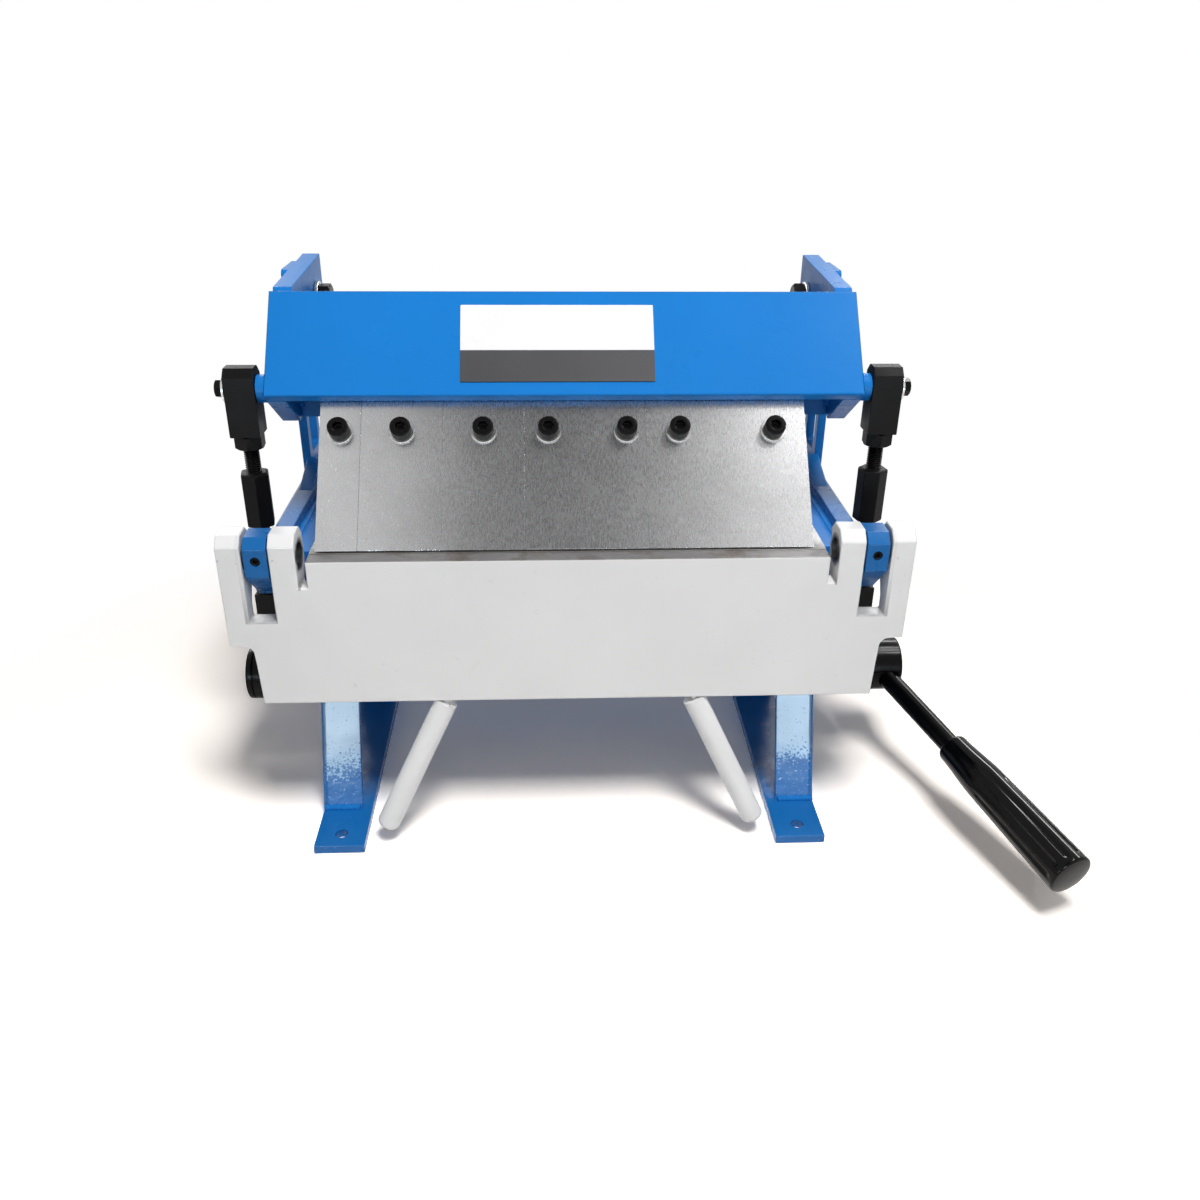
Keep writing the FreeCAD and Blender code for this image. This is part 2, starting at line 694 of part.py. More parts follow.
# Fingers: steel plates with a flat foot, side by side
finger_widths = [finger_step * count for count in (1, 2, 2, 3, 4)]
screw_places = [[finger_step / 2], [finger_step], [finger_step],
                [screw_place_4, screw_place_5], [screw_place_6, screw_place_7]]
row_length = finger_step * 12
screw_xs = []
edge_x = row_shift - row_length / 2
foot_y, foot_out = finger_foot * slope_c, -finger_foot * slope_s
finger_shape = [(0, 0), (finger_long, 0), (finger_long, -finger_thick),
                (finger_relief, -finger_thick), (foot_y, foot_out)]
for number, width in enumerate(finger_widths, start=1):
    body = new_body("finger_%d" % number, 0, tip_setback, tip_gap, slope)
    pad(body, "YZ", edge_x + finger_play / 2, width - finger_play, [finger_shape])
    holes = [edge_x + place for place in screw_places[number - 1]]
    cut(body, "XY", 1, finger_thick + 2, [("circle", x, screw_rise, screw_hole) for x in holes])
    screw_xs = screw_xs + holes
    edge_x = edge_x + width

body = new_body("finger_washers", 0, tip_setback, tip_gap, slope)
pad(body, "XY", 0, washer_thick,
    [("circle", x, screw_rise, washer_size) for x in screw_xs]
    + [("circle", x, screw_rise, screw_size + washer_play) for x in screw_xs])

body = new_body("finger_screws", 0, tip_setback, tip_gap, slope)
pad(body, "XY", washer_thick, screw_head_high, [("circle", x, screw_rise, screw_head) for x in screw_xs])
pad(body, "XY", -finger_thick - screw_bite, finger_thick + screw_bite + washer_thick,
    [("circle", x, screw_rise, screw_size) for x in screw_xs])
cut(body, "XY", washer_thick + screw_head_high, screw_head_high / 2,
    [hexagon(x, screw_rise, hex_key) for x in screw_xs])

# Bare bar that the fingers are screwed to
bar_bolt_xs = [bar_bolt_pitch * place for place in (-1.5, -0.5, 0.5, 1.5)]
body = new_body("finger_bar", 0, tip_setback, tip_gap, slope)
bar_top_y, bar_top_z = spot(bar_high, finger_thick)
bar_start = row_shift - row_length / 2 - bar_past
pad(body, "YZ", bar_start, row_length + bar_past * 2,
    [[(bar_low, -finger_thick), (bar_high, -finger_thick), along_slope(web_front, bar_top_z),
      along_slope(web_front, bar_seat_low), (bar_low, -finger_thick - bar_thick)]])
cut(body, "XY", -finger_thick + 1, screw_bite + 1,
    [("circle", x, screw_rise, screw_size) for x in screw_xs])
bar = body

# Blind holes in the bar's back for the bolts
doc.recompute()
before = bar.Shape.Volume
sketch = bar.newObject("Sketcher::SketchObject", "finger_bar_back")
base = [item for item in bar.Origin.OriginFeatures if item.Role == "XY_Plane"][0]
sketch.AttachmentSupport = [(base, "")]
sketch.MapMode = "FlatFace"
sketch.AttachmentOffset = FreeCAD.Placement(Vector(), FreeCAD.Rotation(X_AXIS, 90 - slope.value))
bind(sketch, "AttachmentOffset.Rotation.Angle", 90 - slope)
seat_y, seat_z = along_slope(web_front, bar_bolt_z)
bind(sketch, "AttachmentOffset.Base.y", seat_y)
bind(sketch, "AttachmentOffset.Base.z", seat_z)
for x in bar_bolt_xs:
    add_circle(sketch, ("circle", x, 0, bolt_size))
feature = bar.newObject("PartDesign::Pocket", "finger_bar_back_cut")
feature.Profile = sketch
feature.Reversed = True
bind(feature, "Length", bar_bolt_bite)
doc.recompute()
if bar.Shape.Volume > before - 1:
    raise RuntimeError("no bolt holes in the finger bar")

# Cross plate behind the bar, closed against the back of the apron
body = new_body("beam_cross_plate")
back_rise = (web_front - tip_setback + apron_gap * slope_s) / slope_c
web_top = tip_gap + back_rise * slope_s + apron_gap * slope_c
far_rise = (web_front + web_thick - tip_setback + apron_gap * slope_s) / slope_c
web_far_top = tip_gap + far_rise * slope_s + apron_gap * slope_c
pad(body, "YZ", -beam_half + arm_thick, beam_half * 2 - arm_thick * 2,
    [[(web_front, web_low), (web_front + web_thick, web_low),
      (web_front + web_thick, web_far_top), (web_front, web_top)]])
cut(body, "XZ", -web_front + 1, web_thick + 2,
    [("circle", x, bar_bolt_z, screw_hole) for x in bar_bolt_xs])

body = new_body("bar_bolts")
bolt_back = web_front + web_thick
for x in bar_bolt_xs:
    pad(body, "XZ", -bolt_back - bolt_head_high, bolt_head_high, [hexagon(x, bar_bolt_z, bolt_head)])
    pad(body, "XZ", -bolt_back, web_thick + bar_bolt_bite, [("circle", x, bar_bolt_z, bolt_size)])

# Apron with a bare label plate
body = new_body("beam_apron", 0, tip_setback, tip_gap, slope)
apron_out = apron_gap + apron_thick
pad(body, "YZ", -beam_half, beam_half * 2,
    [[(apron_low, apron_gap), (apron_high, apron_gap), (apron_high, apron_out),
      (apron_low, apron_out)]])
dress(body, "Chamfer", apron_edge, lambda edge: is_along(edge, X_AXIS)
      and near(ends(edge)[0].z, apron_out))

body = new_body("label_plate", 0, tip_setback, tip_gap, slope)
pad(body, "XY", apron_out, label_thick,
    [[(-label_left, label_low), (label_right, label_low), (label_right, label_high),
      (-label_left, label_high)]])
dress(body, "Fillet", label_round, lambda edge: is_along(edge, Z_AXIS))

# Side arms of the beam
arm_rise = apron_high + arm_past
arm_low_y, arm_low_z = spot(apron_low, -apron_gap)
arm_top_y, arm_top_z = spot(arm_rise, -apron_gap)
for side, name in SIDES:
    body = new_body("beam_arm_" + name)
    pad(body, "YZ", from_inner(side, beam_half - arm_thick, arm_thick), arm_thick,
        [[(arm_low_y, arm_low_z), (arm_top_y, arm_top_z), (arm_back, arm_back_top),
          (arm_back, arm_back_top - arm_back_deep), (pivot_y - arm_heel, arm_back_top - arm_back_deep),
          (arm_vertex_y, arm_vertex_z)],
         ("circle", pivot_y, pivot_z, pivot_size + pin_play * 2)])

# Rear pivots: bolt from the inside, through the arm into the post
body = new_body("beam_pivot_bolts")
arm_inner = beam_half - arm_thick
head_x = arm_inner - side_play - pivot_washer_thick - pivot_head_high
shank_x = head_x + pivot_head_high
for side, name in SIDES:
    pad(body, "YZ", from_inner(side, head_x, pivot_head_high), pivot_head_high,
        [hexagon(pivot_y, pivot_z, pivot_head)])
    shank = post_inner + post_thick - shank_x
    pad(body, "YZ", from_inner(side, shank_x, shank), shank, [("circle", pivot_y, pivot_z, pivot_size)])

body = new_body("beam_pivot_washers")
for side, name in SIDES:
    pad(body, "YZ", from_inner(side, shank_x, pivot_washer_thick), pivot_washer_thick,
        [("circle", pivot_y, pivot_z, pivot_washer), ("circle", pivot_y, pivot_z, pivot_size)])

# Upper pivots of the tie rods: boss and pin, washer and screw
tie_inner = tie_x - tie_block / 2
tie_outer = tie_x + tie_block / 2
pin_start = tie_inner - side_play
pin_end = tie_outer + side_play
body = new_body("tie_pivots")
for side, name in SIDES:
    pad(body, "YZ", from_inner(side, beam_half, pin_start - beam_half), pin_start - beam_half,
        [("circle", tie_y, tie_pivot_z, tie_boss)])
    pad(body, "YZ", from_inner(side, pin_start, pin_end - pin_start), pin_end - pin_start,
        [("circle", tie_y, tie_pivot_z, tie_pin)])
for side, name in SIDES:
    hole_start = from_inner(side, pin_end - tie_screw_bite, tie_screw_bite)
    cut(body, "YZ", hole_start + tie_screw_bite, tie_screw_bite, [("circle", tie_y, tie_pivot_z, tie_screw)])

body = new_body("tie_washers")
for side, name in SIDES:
    pad(body, "YZ", from_inner(side, pin_end, washer_thick), washer_thick,
        [("circle", tie_y, tie_pivot_z, tie_washer), ("circle", tie_y, tie_pivot_z, tie_screw)])

body = new_body("tie_screws")
head_start = pin_end + washer_thick
for side, name in SIDES:
    pad(body, "YZ", from_inner(side, head_start, tie_screw_high), tie_screw_high,
        [hexagon(tie_y, tie_pivot_z, tie_screw_head)])
    thread = washer_thick + tie_screw_bite
    pad(body, "YZ", from_inner(side, pin_end - tie_screw_bite, thread), thread,
        [("circle", tie_y, tie_pivot_z, tie_screw)])

for side, name in SIDES:
    # Tie rod: upper block, lock nuts, studs, long hexagon coupling and lower eye
    rod_x = side * tie_x
    body = new_body("tie_block_" + name)
    block_front = tie_y - tie_block / 2
    block_back = tie_y + tie_block / 2
    pad(body, "YZ", from_inner(side, tie_inner, tie_block), tie_block,
        [[(block_front, tie_block_low), (block_back, tie_block_low),
          (block_back, tie_block_high - tie_block_bevel), (block_back - tie_block_bevel, tie_block_high),
          (block_front + tie_block_bevel, tie_block_high), (block_front, tie_block_high - tie_block_bevel)],
         ("circle", tie_y, tie_pivot_z, tie_pin + pin_play * 2)])
    cut(body, "XY", tie_block_low + stud_bite, stud_bite, [("circle", rod_x, tie_y, stud_size)])

    body = new_body("tie_nuts_" + name)
    for low_z in (tie_block_low - nut_high, -eye_top):
        pad(body, "XY", low_z, nut_high,
            [hexagon(rod_x, tie_y, nut_flats), ("circle", rod_x, tie_y, stud_size)])
    dress(body, "Chamfer", coupling_bevel / 2, lambda edge: edge.Curve.TypeId == "Part::GeomLine"
          and abs(ends(edge)[0].z - ends(edge)[1].z) < 0.01)

    body = new_body("tie_studs_" + name)
    pad(body, "XY", coupling_high - stud_bite, tie_block_low + stud_bite - (coupling_high - stud_bite),
        [("circle", rod_x, tie_y, stud_size)])
    pad(body, "XY", -eye_top - stud_bite, coupling_low + stud_bite - (-eye_top - stud_bite),
        [("circle", rod_x, tie_y, stud_size)])

    body = new_body("tie_coupling_" + name)
    pad(body, "XY", coupling_low, coupling_high - coupling_low,
        [hexagon(rod_x, tie_y, nut_flats, coupling_turn),
         ("circle", rod_x, tie_y, stud_size)])
    dress(body, "Chamfer", coupling_bevel, lambda edge: edge.Curve.TypeId == "Part::GeomLine"
          and abs(ends(edge)[0].z - ends(edge)[1].z) < 0.01)

    body = new_body("tie_eye_" + name)
    start = from_inner(side, tie_x - eye_width / 2, eye_width)
    pad(body, "YZ", start, eye_width,
        [[(block_front, -eye_top), (block_front, -crank_drop), (block_back, -crank_drop),
          (block_back, -eye_top)]])
    pad(body, "YZ", start, eye_width, [("circle", tie_y, -crank_drop, eye_size)])
    cut(body, "YZ", start + eye_width, eye_width,
        [("circle", tie_y, -crank_drop, crank_size + eye_play * 2)])
    cut(body, "XY", -eye_top, stud_bite, [("circle", rod_x, tie_y, stud_size)])

# Clamp shaft with a crank pin between web and end piece on each side
body = new_body("clamp_shaft", 0, shaft_y, -shaft_drop)
pad(body, "YZ", -crank_web_in, crank_web_in * 2, [("circle", 0, 0, shaft_size)])
journal_ends = {-1: disc_end - hub_wall, 1: hub_end - hub_wall}
for side, name in SIDES:
    web = crank_web_out - crank_web_in
    pad(body, "YZ", from_inner(side, crank_web_in, web), web, [("circle", 0, 0, crank_web)])
    pin_long = journal_start - crank_web_out
    pad(body, "YZ", from_inner(side, crank_web_out, pin_long), pin_long,
        [("circle", -throw * cosine(throw_angle), -throw * sine(throw_angle), crank_size)])
    journal = journal_ends[side] - journal_start
    pad(body, "YZ", from_inner(side, journal_start, journal), journal, [("circle", 0, 0, journal_size)])

body = new_body("end_disc", 0, shaft_y, -shaft_drop)
rim_start = disc_end - disc_rim
pad(body, "YZ", -disc_end, disc_rim, [("circle", 0, 0, disc_size)])
pad(body, "YZ", -rim_start, disc_groove, [("circle", 0, 0, disc_size - disc_groove * 2)])
pad(body, "YZ", -rim_start + disc_groove, rim_start - disc_groove - disc_start,
    [("circle", 0, 0, disc_size)])
dress(body, "Chamfer", disc_bevel, lambda edge: edge.Curve.TypeId == "Part::GeomCircle"
      and (near(edge.Curve.Center.x, -disc_end) or near(edge.Curve.Center.x, -disc_start)))
cut(body, "YZ", -disc_start, disc_end - hub_wall - disc_start, [("circle", 0, 0, journal_size)])

# Hub with a slanting hole, then the rod and the grip, drawn along the lever
lever_turn = 90 + lever_down

def lean(thing, prop):
    """Turn a body or a sketch so that its Z looks along the lever."""
    axis = Vector(cosine(lever_aside).value, sine(lever_aside).value, 0)
    setattr(thing, prop, FreeCAD.Placement(Vector(), FreeCAD.Rotation(axis, lever_turn.value)))
    bind(thing, prop + ".Rotation.Axis.x", cosine(lever_aside))
    bind(thing, prop + ".Rotation.Axis.y", sine(lever_aside))
    bind(thing, prop + ".Rotation.Axis.z", 0)
    bind(thing, prop + ".Rotation.Angle", lever_turn)

body = new_body("lever_hub", 0, shaft_y, -shaft_drop)
pad(body, "YZ", disc_start, hub_end - disc_start, [("circle", 0, 0, hub_size)])
dress(body, "Chamfer", hub_bevel, lambda edge: edge.Curve.TypeId == "Part::GeomCircle")
cut(body, "YZ", hub_end - hub_wall, hub_end - hub_wall - disc_start, [("circle", 0, 0, journal_size)])
before = body.Shape.Volume
sketch = sketch_on(body, "XY", 0, [("circle", 0, 0, lever_rod)])
lean(sketch, "AttachmentOffset")
bind(sketch, "AttachmentOffset.Base.x", lever_x + rod_root * sine(lever_aside) * cosine(lever_down))
bind(sketch, "AttachmentOffset.Base.y", -rod_root * cosine(lever_aside) * cosine(lever_down))
bind(sketch, "AttachmentOffset.Base.z", -rod_root * sine(lever_down))
feature = body.newObject("PartDesign::Pocket", "lever_hub_bore")
feature.Profile = sketch
feature.Reversed = True
bind(feature, "Length", hub_size)
doc.recompute()
if body.Shape.Volume > before - 1:
    raise RuntimeError("no hole in the hub for the lever")

body = new_body("lever_rod", lever_x, shaft_y, -shaft_drop)
lean(body, "Placement")
pad(body, "XY", rod_root, grip_start + tang_length - rod_root, [("circle", 0, 0, lever_rod)])

body = new_body("lever_grip", lever_x, shaft_y, -shaft_drop)
lean(body, "Placement")
grip_tip = grip_start + grip_length
profile = sketch_on(body, "XZ", 0,
                    [[(0, grip_start), (grip_small / 2 - grip_bevel, grip_start),
                      (grip_small / 2, grip_start + grip_bevel),
                      (grip_swell / 2, grip_start + grip_swell_at), (grip_large / 2, grip_tip),
                      (0, grip_tip + grip_dome)]])
feature = body.newObject("PartDesign::Revolution", "lever_grip_turning")
feature.Profile = profile
feature.ReferenceAxis = (profile, ["V_Axis"])
feature.Angle = 360
dress(body, "Fillet", grip_round, lambda edge: edge.Curve.TypeId == "Part::GeomCircle"
      and near(edge.Curve.Center.z, grip_tip))
cut(body, "XY", grip_start + tang_length, tang_length, [("circle", 0, 0, lever_rod)])
flutes = []
flute_reach = grip_large / 2 + flute_size / 2 - flute_deep
for i in range(10):
    flutes.append(("circle", flute_reach * cosine(36 * i), flute_reach * sine(36 * i), flute_size))
cut(body, "XY", grip_tip - flute_end, grip_length - flute_start - flute_end, flutes)

doc.recompute()

# Every object must be sound before anything is written
for thing in doc.Objects:
    for word in ("Invalid", "Error"):
        if word in thing.State:
            raise RuntimeError("%s is %s" % (thing.Name, word))
for body in parts:
    if body.Shape.isNull() or not body.Shape.isValid():
        raise RuntimeError(body.Label + " has no sound shape")

os.makedirs("parts", exist_ok=True)
for body in parts:
    body.Shape.exportStep("parts/%s.step" % body.Label)
    print("%-24s %9.0f mm3 %d" % (body.Label, body.Shape.Volume, len(body.Shape.Solids)))
print(len(parts), "nodes")
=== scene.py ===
"""Bench sheet metal folder: white bending leaf, blue base, five clamping fingers, hand lever."""
import json
import math

import bmesh
import bpy
from mathutils import Matrix, Vector

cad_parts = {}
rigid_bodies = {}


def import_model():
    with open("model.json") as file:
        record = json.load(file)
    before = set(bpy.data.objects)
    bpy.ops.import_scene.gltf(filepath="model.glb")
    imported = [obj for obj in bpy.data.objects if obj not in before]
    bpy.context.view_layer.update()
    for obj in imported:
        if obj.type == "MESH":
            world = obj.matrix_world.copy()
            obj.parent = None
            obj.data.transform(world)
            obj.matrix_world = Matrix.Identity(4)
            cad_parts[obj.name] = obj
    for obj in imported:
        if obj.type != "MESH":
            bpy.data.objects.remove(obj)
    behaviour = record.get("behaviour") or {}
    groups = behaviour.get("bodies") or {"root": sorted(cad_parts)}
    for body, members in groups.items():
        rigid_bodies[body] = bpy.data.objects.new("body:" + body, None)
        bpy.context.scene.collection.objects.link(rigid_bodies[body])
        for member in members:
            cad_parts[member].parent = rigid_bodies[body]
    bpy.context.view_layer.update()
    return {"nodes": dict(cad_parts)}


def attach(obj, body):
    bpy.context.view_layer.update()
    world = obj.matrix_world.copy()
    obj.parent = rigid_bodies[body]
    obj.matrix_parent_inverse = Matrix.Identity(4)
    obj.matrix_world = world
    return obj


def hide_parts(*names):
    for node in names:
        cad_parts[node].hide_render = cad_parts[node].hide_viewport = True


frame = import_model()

NODES = frame["nodes"]

bl_info = {
    "name": "Bench Sheet Metal Folder",
    "version": (1, 0, 0),
    "blender": (4, 5, 0),
    "location": "3D View > Sidebar > Folder",
    "description": "Builds a hand-operated sheet metal folder with painted plates and "
                   "ground fingers",
    "category": "Add Mesh",
}

# Places in metres: x to the right, y to the rear, z up from the floor

SIDES = ("left", "right")
SIGNS = (-1, 1)
SLOPE = math.radians(50)
SLOPE_FOOT = Vector((0.0, -0.0968, 0.201))
SLOPE_OUT = (0.0, -math.sin(SLOPE), math.cos(SLOPE))
HINGE_Y, HINGE_Z = -0.098, 0.2
NOSE_X, NOSE_FRONT_Y = 0.187, -0.1051
SLOT_WALLS_X = (0.178, 0.1965)
SLOT_FLOOR, SLOT_EXTRA = 0.1648, 0.0048
CLAMP_Y, CLAMP_Z = -0.01881, 0.0723
LEVER_X = 0.2255
LEVER_DOWN, LEVER_ASIDE = math.radians(10), math.radians(20)
PIVOT_X, PIVOT_Y, PIVOT_Z = 0.1727, 0.089, 0.315
TIE_X, TIE_Y, TIE_TOP_Z = 0.2033, -0.027, 0.282
TIE_WASHER_X, TIE_SCREW_X = 0.2131, 0.2147
LOCK_NUTS_Z = (0.1425, 0.2436)
STUD_RADIUS = 0.00499
STUD_ENDS_Z = ((0.1285, 0.204), (0.2136, 0.2666))
FINGER_SCREW_X = (-0.1417, -0.1036, -0.0528, -0.0124, 0.0366, 0.0696, 0.1296)
FINGER_SCREW_RISE = 0.077
FINGER_WASHER_THICK = 0.0016
PLATE_BOLT_X = (-0.120, -0.040, 0.040, 0.120)
BED_BOLT_Y, BED_BOLT_Z = -0.048, 0.172
BAR_BOLT_Y, BAR_BOLT_Z = 0.012, 0.2675


# Sizes and colours

def length(name, description, default):
    return bpy.props.FloatProperty(
        name=name, description=description, default=default, unit="LENGTH")


def colour(name, description, default):
    return bpy.props.FloatVectorProperty(
        name=name, description=description, subtype="COLOR", size=3, default=default,
        min=0.0, max=1.0)


class FolderSizes(bpy.types.PropertyGroup):
    """Sizes that the solids leave open"""
    plate_edge: length("Plate Edge", "Rounding of the edges of the blue plates", 0.0006)
    leaf_edge: length("Leaf Edge", "Rounding of the edges of the bending leaf", 0.0009)
    finger_edge: length("Finger Edge", "Rounding of the ground edges of the fingers", 0.00022)
    turned_edge: length("Turned Edge", "Rounding of the rims of turned pieces", 0.0004)
    thread_pitch: length("Thread Pitch", "Pitch of the thread of the tie rods", 0.0015)
    thread_depth: length("Thread Depth", "Depth of the thread of the tie rods", 0.0008)
    bead_size: length("Bead Size", "Radius of a weld bead", 0.0024)
    bead_ripple: length("Bead Ripple", "Distance between the ripples of a weld bead", 0.0022)
    screw_head: length("Screw Head", "Diameter of the heads of the finger screws", 0.013)
    flutes: bpy.props.IntProperty(
        name="Grip Flutes", description="Number of flutes round the grip", default=10,
        min=3, max=24)


class FolderColours(bpy.types.PropertyGroup):
    """Colours of the finishes"""
    blue: colour("Blue Enamel", "Enamel of the base and the beam", (0.012, 0.192, 0.580))
    white: colour("White Enamel", "Enamel of the leaf and its handles", (0.83, 0.83, 0.83))
    black: colour("Black Oxide", "Finish of the tie rods and screws", (0.005, 0.0045, 0.0045))
    grip: colour("Grip", "Moulded plastic of the grip", (0.0012, 0.0012, 0.0014))
    steel: colour("Ground Steel", "Bare steel of the fingers", (0.68, 0.68, 0.69))
    floor: colour("Floor", "Pale studio floor", (0.82, 0.82, 0.82))


# Node trees

class Wires:
    """Adds nodes to a tree and wires them."""

    def __init__(self, tree):
        self.tree = tree

    def add(self, kind, feeds=None, **settings):
        node = self.tree.nodes.new(kind)
        for key, value in settings.items():
            setattr(node, key, value)
        for key, value in (feeds or {}).items():
            self.feed(self.inlet(node, key), value)
        return node

    @staticmethod
    def inlet(node, key):
        if isinstance(key, int):
            return node.inputs[key]
        return next(socket for socket in node.inputs if socket.name == key and socket.enabled)

    @staticmethod
    def outlet(node, key):
        return next(socket for socket in node.outputs if socket.name == key and socket.enabled)

    def feed(self, socket, value):
        if isinstance(value, bpy.types.NodeSocket):
            self.tree.links.new(value, socket)
        else:
            socket.default_value = value

    def fill(self, sockets, **values):
        for key, value in values.items():
            self.feed(sockets[key.replace("_", " ")], value)

    def math(self, operation, first, second=0.0, clamp=False):
        node = self.add("ShaderNodeMath", {0: first, 1: second}, operation=operation)
        node.use_clamp = clamp
        return node.outputs[0]

    def plus(self, first, second, clamp=False):
        return self.math("ADD", first, second, clamp)

    def minus(self, first, second):
        return self.math("SUBTRACT", first, second)

    def times(self, first, second, clamp=False):
        return self.math("MULTIPLY", first, second, clamp)

    def over(self, first, second):
        return self.math("DIVIDE", first, second)

    def larger(self, first, second):
        return self.math("MAXIMUM", first, second)

    def ramp(self, value, low, high, first=0.0, last=1.0):
        return self.add("ShaderNodeMapRange", {
            "Value": value, "From Min": low, "From Max": high, "To Min": first, "To Max": last,
        }).outputs[0]

    def spread(self, noise, first=0.0, last=1.0):
        """Noise, which seldom leaves 0.3 to 0.7, spread over first to last."""
        return self.ramp(noise, 0.3, 0.7, first, last)

    def between(self, value, low, high, blur):
        """1 where value is between low and high, fading out over blur."""
        return self.times(self.ramp(value, low - blur, low),
                          self.ramp(value, high, high + blur, 1.0, 0.0))

    def mix(self, factor, first, second):
        node = self.add("ShaderNodeMix", {0: factor, 6: first, 7: second}, data_type="RGBA")
        return node.outputs[2]

    def shade(self, tint, amount):
        return self.add("ShaderNodeVectorMath", {0: tint, "Scale": amount},
                        operation="SCALE").outputs[0]

    def noise(self, place, scale, detail=2.0, roughness=0.5, distortion=0.0):
        return self.add("ShaderNodeTexNoise", {
            "Vector": place, "Scale": scale, "Detail": detail, "Roughness": roughness,
            "Distortion": distortion}).outputs[0]

    def stretched(self, place, scale, turn):
        return self.add("ShaderNodeMapping", {
            "Vector": place, "Rotation": turn, "Scale": scale}).outputs[0]

    def split(self, vector):
        """The X, Y and Z of a vector, by name."""
        return self.add("ShaderNodeSeparateXYZ", {0: vector}).outputs

    def object_place(self):
        return self.add("ShaderNodeTexCoord").outputs["Object"]

    def face_normal(self):
        return self.split(self.add("ShaderNodeNewGeometry").outputs["True Normal"])

    def group(self, tree, feeds):
        """The outputs of a shader node group."""
        return self.add("ShaderNodeGroup", feeds, node_tree=tree).outputs


SOCKETS = {"colour": "NodeSocketColor", "number": "NodeSocketFloat", "whole": "NodeSocketInt",
           "vector": "NodeSocketVector", "shape": "NodeSocketGeometry",
           "object": "NodeSocketObject", "finish": "NodeSocketMaterial"}


def node_group(name, kind, inlets, outlets):
    """Turns a function that fills a tree into one that gives the named group, made once."""
    def wrap(fill):
        def tree_of():
            if name in bpy.data.node_groups:
                return bpy.data.node_groups[name]
            tree = bpy.data.node_groups.new(name, kind)
            for title, form, value in inlets:
                socket = tree.interface.new_socket(
                    title, in_out="INPUT", socket_type=SOCKETS[form])
                if value is not None:
                    socket.default_value = value
            for title, form in outlets:
                tree.interface.new_socket(title, in_out="OUTPUT", socket_type=SOCKETS[form])
            wires = Wires(tree)
            given = wires.add("NodeGroupInput").outputs
            fill(wires, given, wires.add("NodeGroupOutput").inputs)
            return tree
        return tree_of
    return wrap


SURFACE = (("Colour", "colour"), ("Roughness", "number"), ("Height", "number"))


@node_group("Sprayed Paint", "ShaderNodeTree", (
    ("Paint", "colour", (0.5, 0.5, 0.5, 1.0)), ("Grime", "colour", (0.05, 0.04, 0.03, 1.0)),
    ("Grime Amount", "number", 0.2), ("Tone Change", "number", 0.06),
    ("Base Roughness", "number", 0.3), ("Peel Scale", "number", 500.0)), SURFACE)
def sprayed_paint_group(wires, given, result):
    """Enamel: slow tone changes, fine grime specks, orange peel."""
    place = wires.object_place()
    cloud = wires.noise(place, 13.0, 3.0, 0.55)
    swing = wires.times(wires.spread(cloud, -1.0, 1.0), given["Tone Change"])
    tone = wires.shade(given["Paint"], wires.plus(swing, 1.0))
    specks = wires.ramp(wires.noise(place, 260.0, 5.0, 0.72), 0.62, 0.74)
    patches = wires.ramp(wires.noise(place, 31.0, 4.0, 0.6), 0.5, 0.68)
    grime = wires.times(wires.times(specks, patches), given["Grime Amount"])
    uneven = wires.spread(wires.noise(place, 55.0, 3.0, 0.6), -0.05, 0.07)
    rough = wires.plus(uneven, given["Base Roughness"])
    peel = wires.noise(place, given["Peel Scale"], 1.5, 0.45)
    sag = wires.noise(place, 90.0, 1.0, 0.4)
    wires.fill(result, Colour=wires.mix(grime, tone, given["Grime"]),
               Roughness=wires.plus(rough, wires.times(grime, 0.3), clamp=True),
               Height=wires.plus(peel, wires.times(sag, 2.2)))


@node_group("Ground Steel", "ShaderNodeTree", (
    ("Light", "colour", (0.6, 0.6, 0.6, 1.0)), ("Dark", "colour", (0.25, 0.25, 0.25, 1.0)),
    ("Stain", "colour", (0.12, 0.08, 0.05, 1.0)), ("Stain Amount", "number", 0.2),
    ("Mark Amount", "number", 0.5), ("Base Roughness", "number", 0.35),
    ("Grain", "vector", (300.0, 300.0, 2500.0)), ("Turn", "vector", (0.0, 0.0, 0.0))), SURFACE)
def ground_steel_group(wires, given, result):
    """Bare steel: grinding lines one way, cloudy stains, short bright and dark marks."""
    place = wires.object_place()
    lines = wires.noise(wires.stretched(place, given["Grain"], given["Turn"]), 1.0, 4.0, 0.6)
    cloud = wires.noise(place, 16.0, 5.0, 0.62, 0.5)
    tone = wires.plus(wires.times(wires.ramp(lines, 0.25, 0.75), 0.45),
                      wires.times(wires.spread(cloud), 0.55), clamp=True)
    tint = wires.mix(tone, given["Dark"], given["Light"])
    stains = wires.times(wires.ramp(wires.noise(place, 44.0, 6.0, 0.68, 0.3), 0.52, 0.7),
                         given["Stain Amount"])
    tint = wires.mix(stains, tint, given["Stain"])
    short = wires.stretched(place, (1100.0, 330.0, 330.0), (0.5, 0.3, 0.8))
    bright = wires.ramp(wires.noise(short, 1.0, 3.0, 0.55, 0.4), 0.68, 0.72)
    other = wires.stretched(place, (230.0, 800.0, 400.0), (0.2, 0.9, 0.1))
    dark = wires.ramp(wires.noise(other, 1.0, 2.0, 0.5), 0.74, 0.79)
    amount = given["Mark Amount"]
    tint = wires.mix(wires.times(bright, amount), tint, (0.95, 0.95, 0.95, 1.0))
    tint = wires.mix(wires.times(dark, wires.times(amount, 0.7)), tint, (0.06, 0.06, 0.06, 1.0))
    rough = wires.plus(given["Base Roughness"], wires.spread(lines, -0.02, 0.03))
    wires.fill(result, Colour=tint,
               Roughness=wires.plus(rough, wires.times(stains, 0.3), clamp=True),
               Height=wires.minus(lines, wires.times(dark, 0.6)))


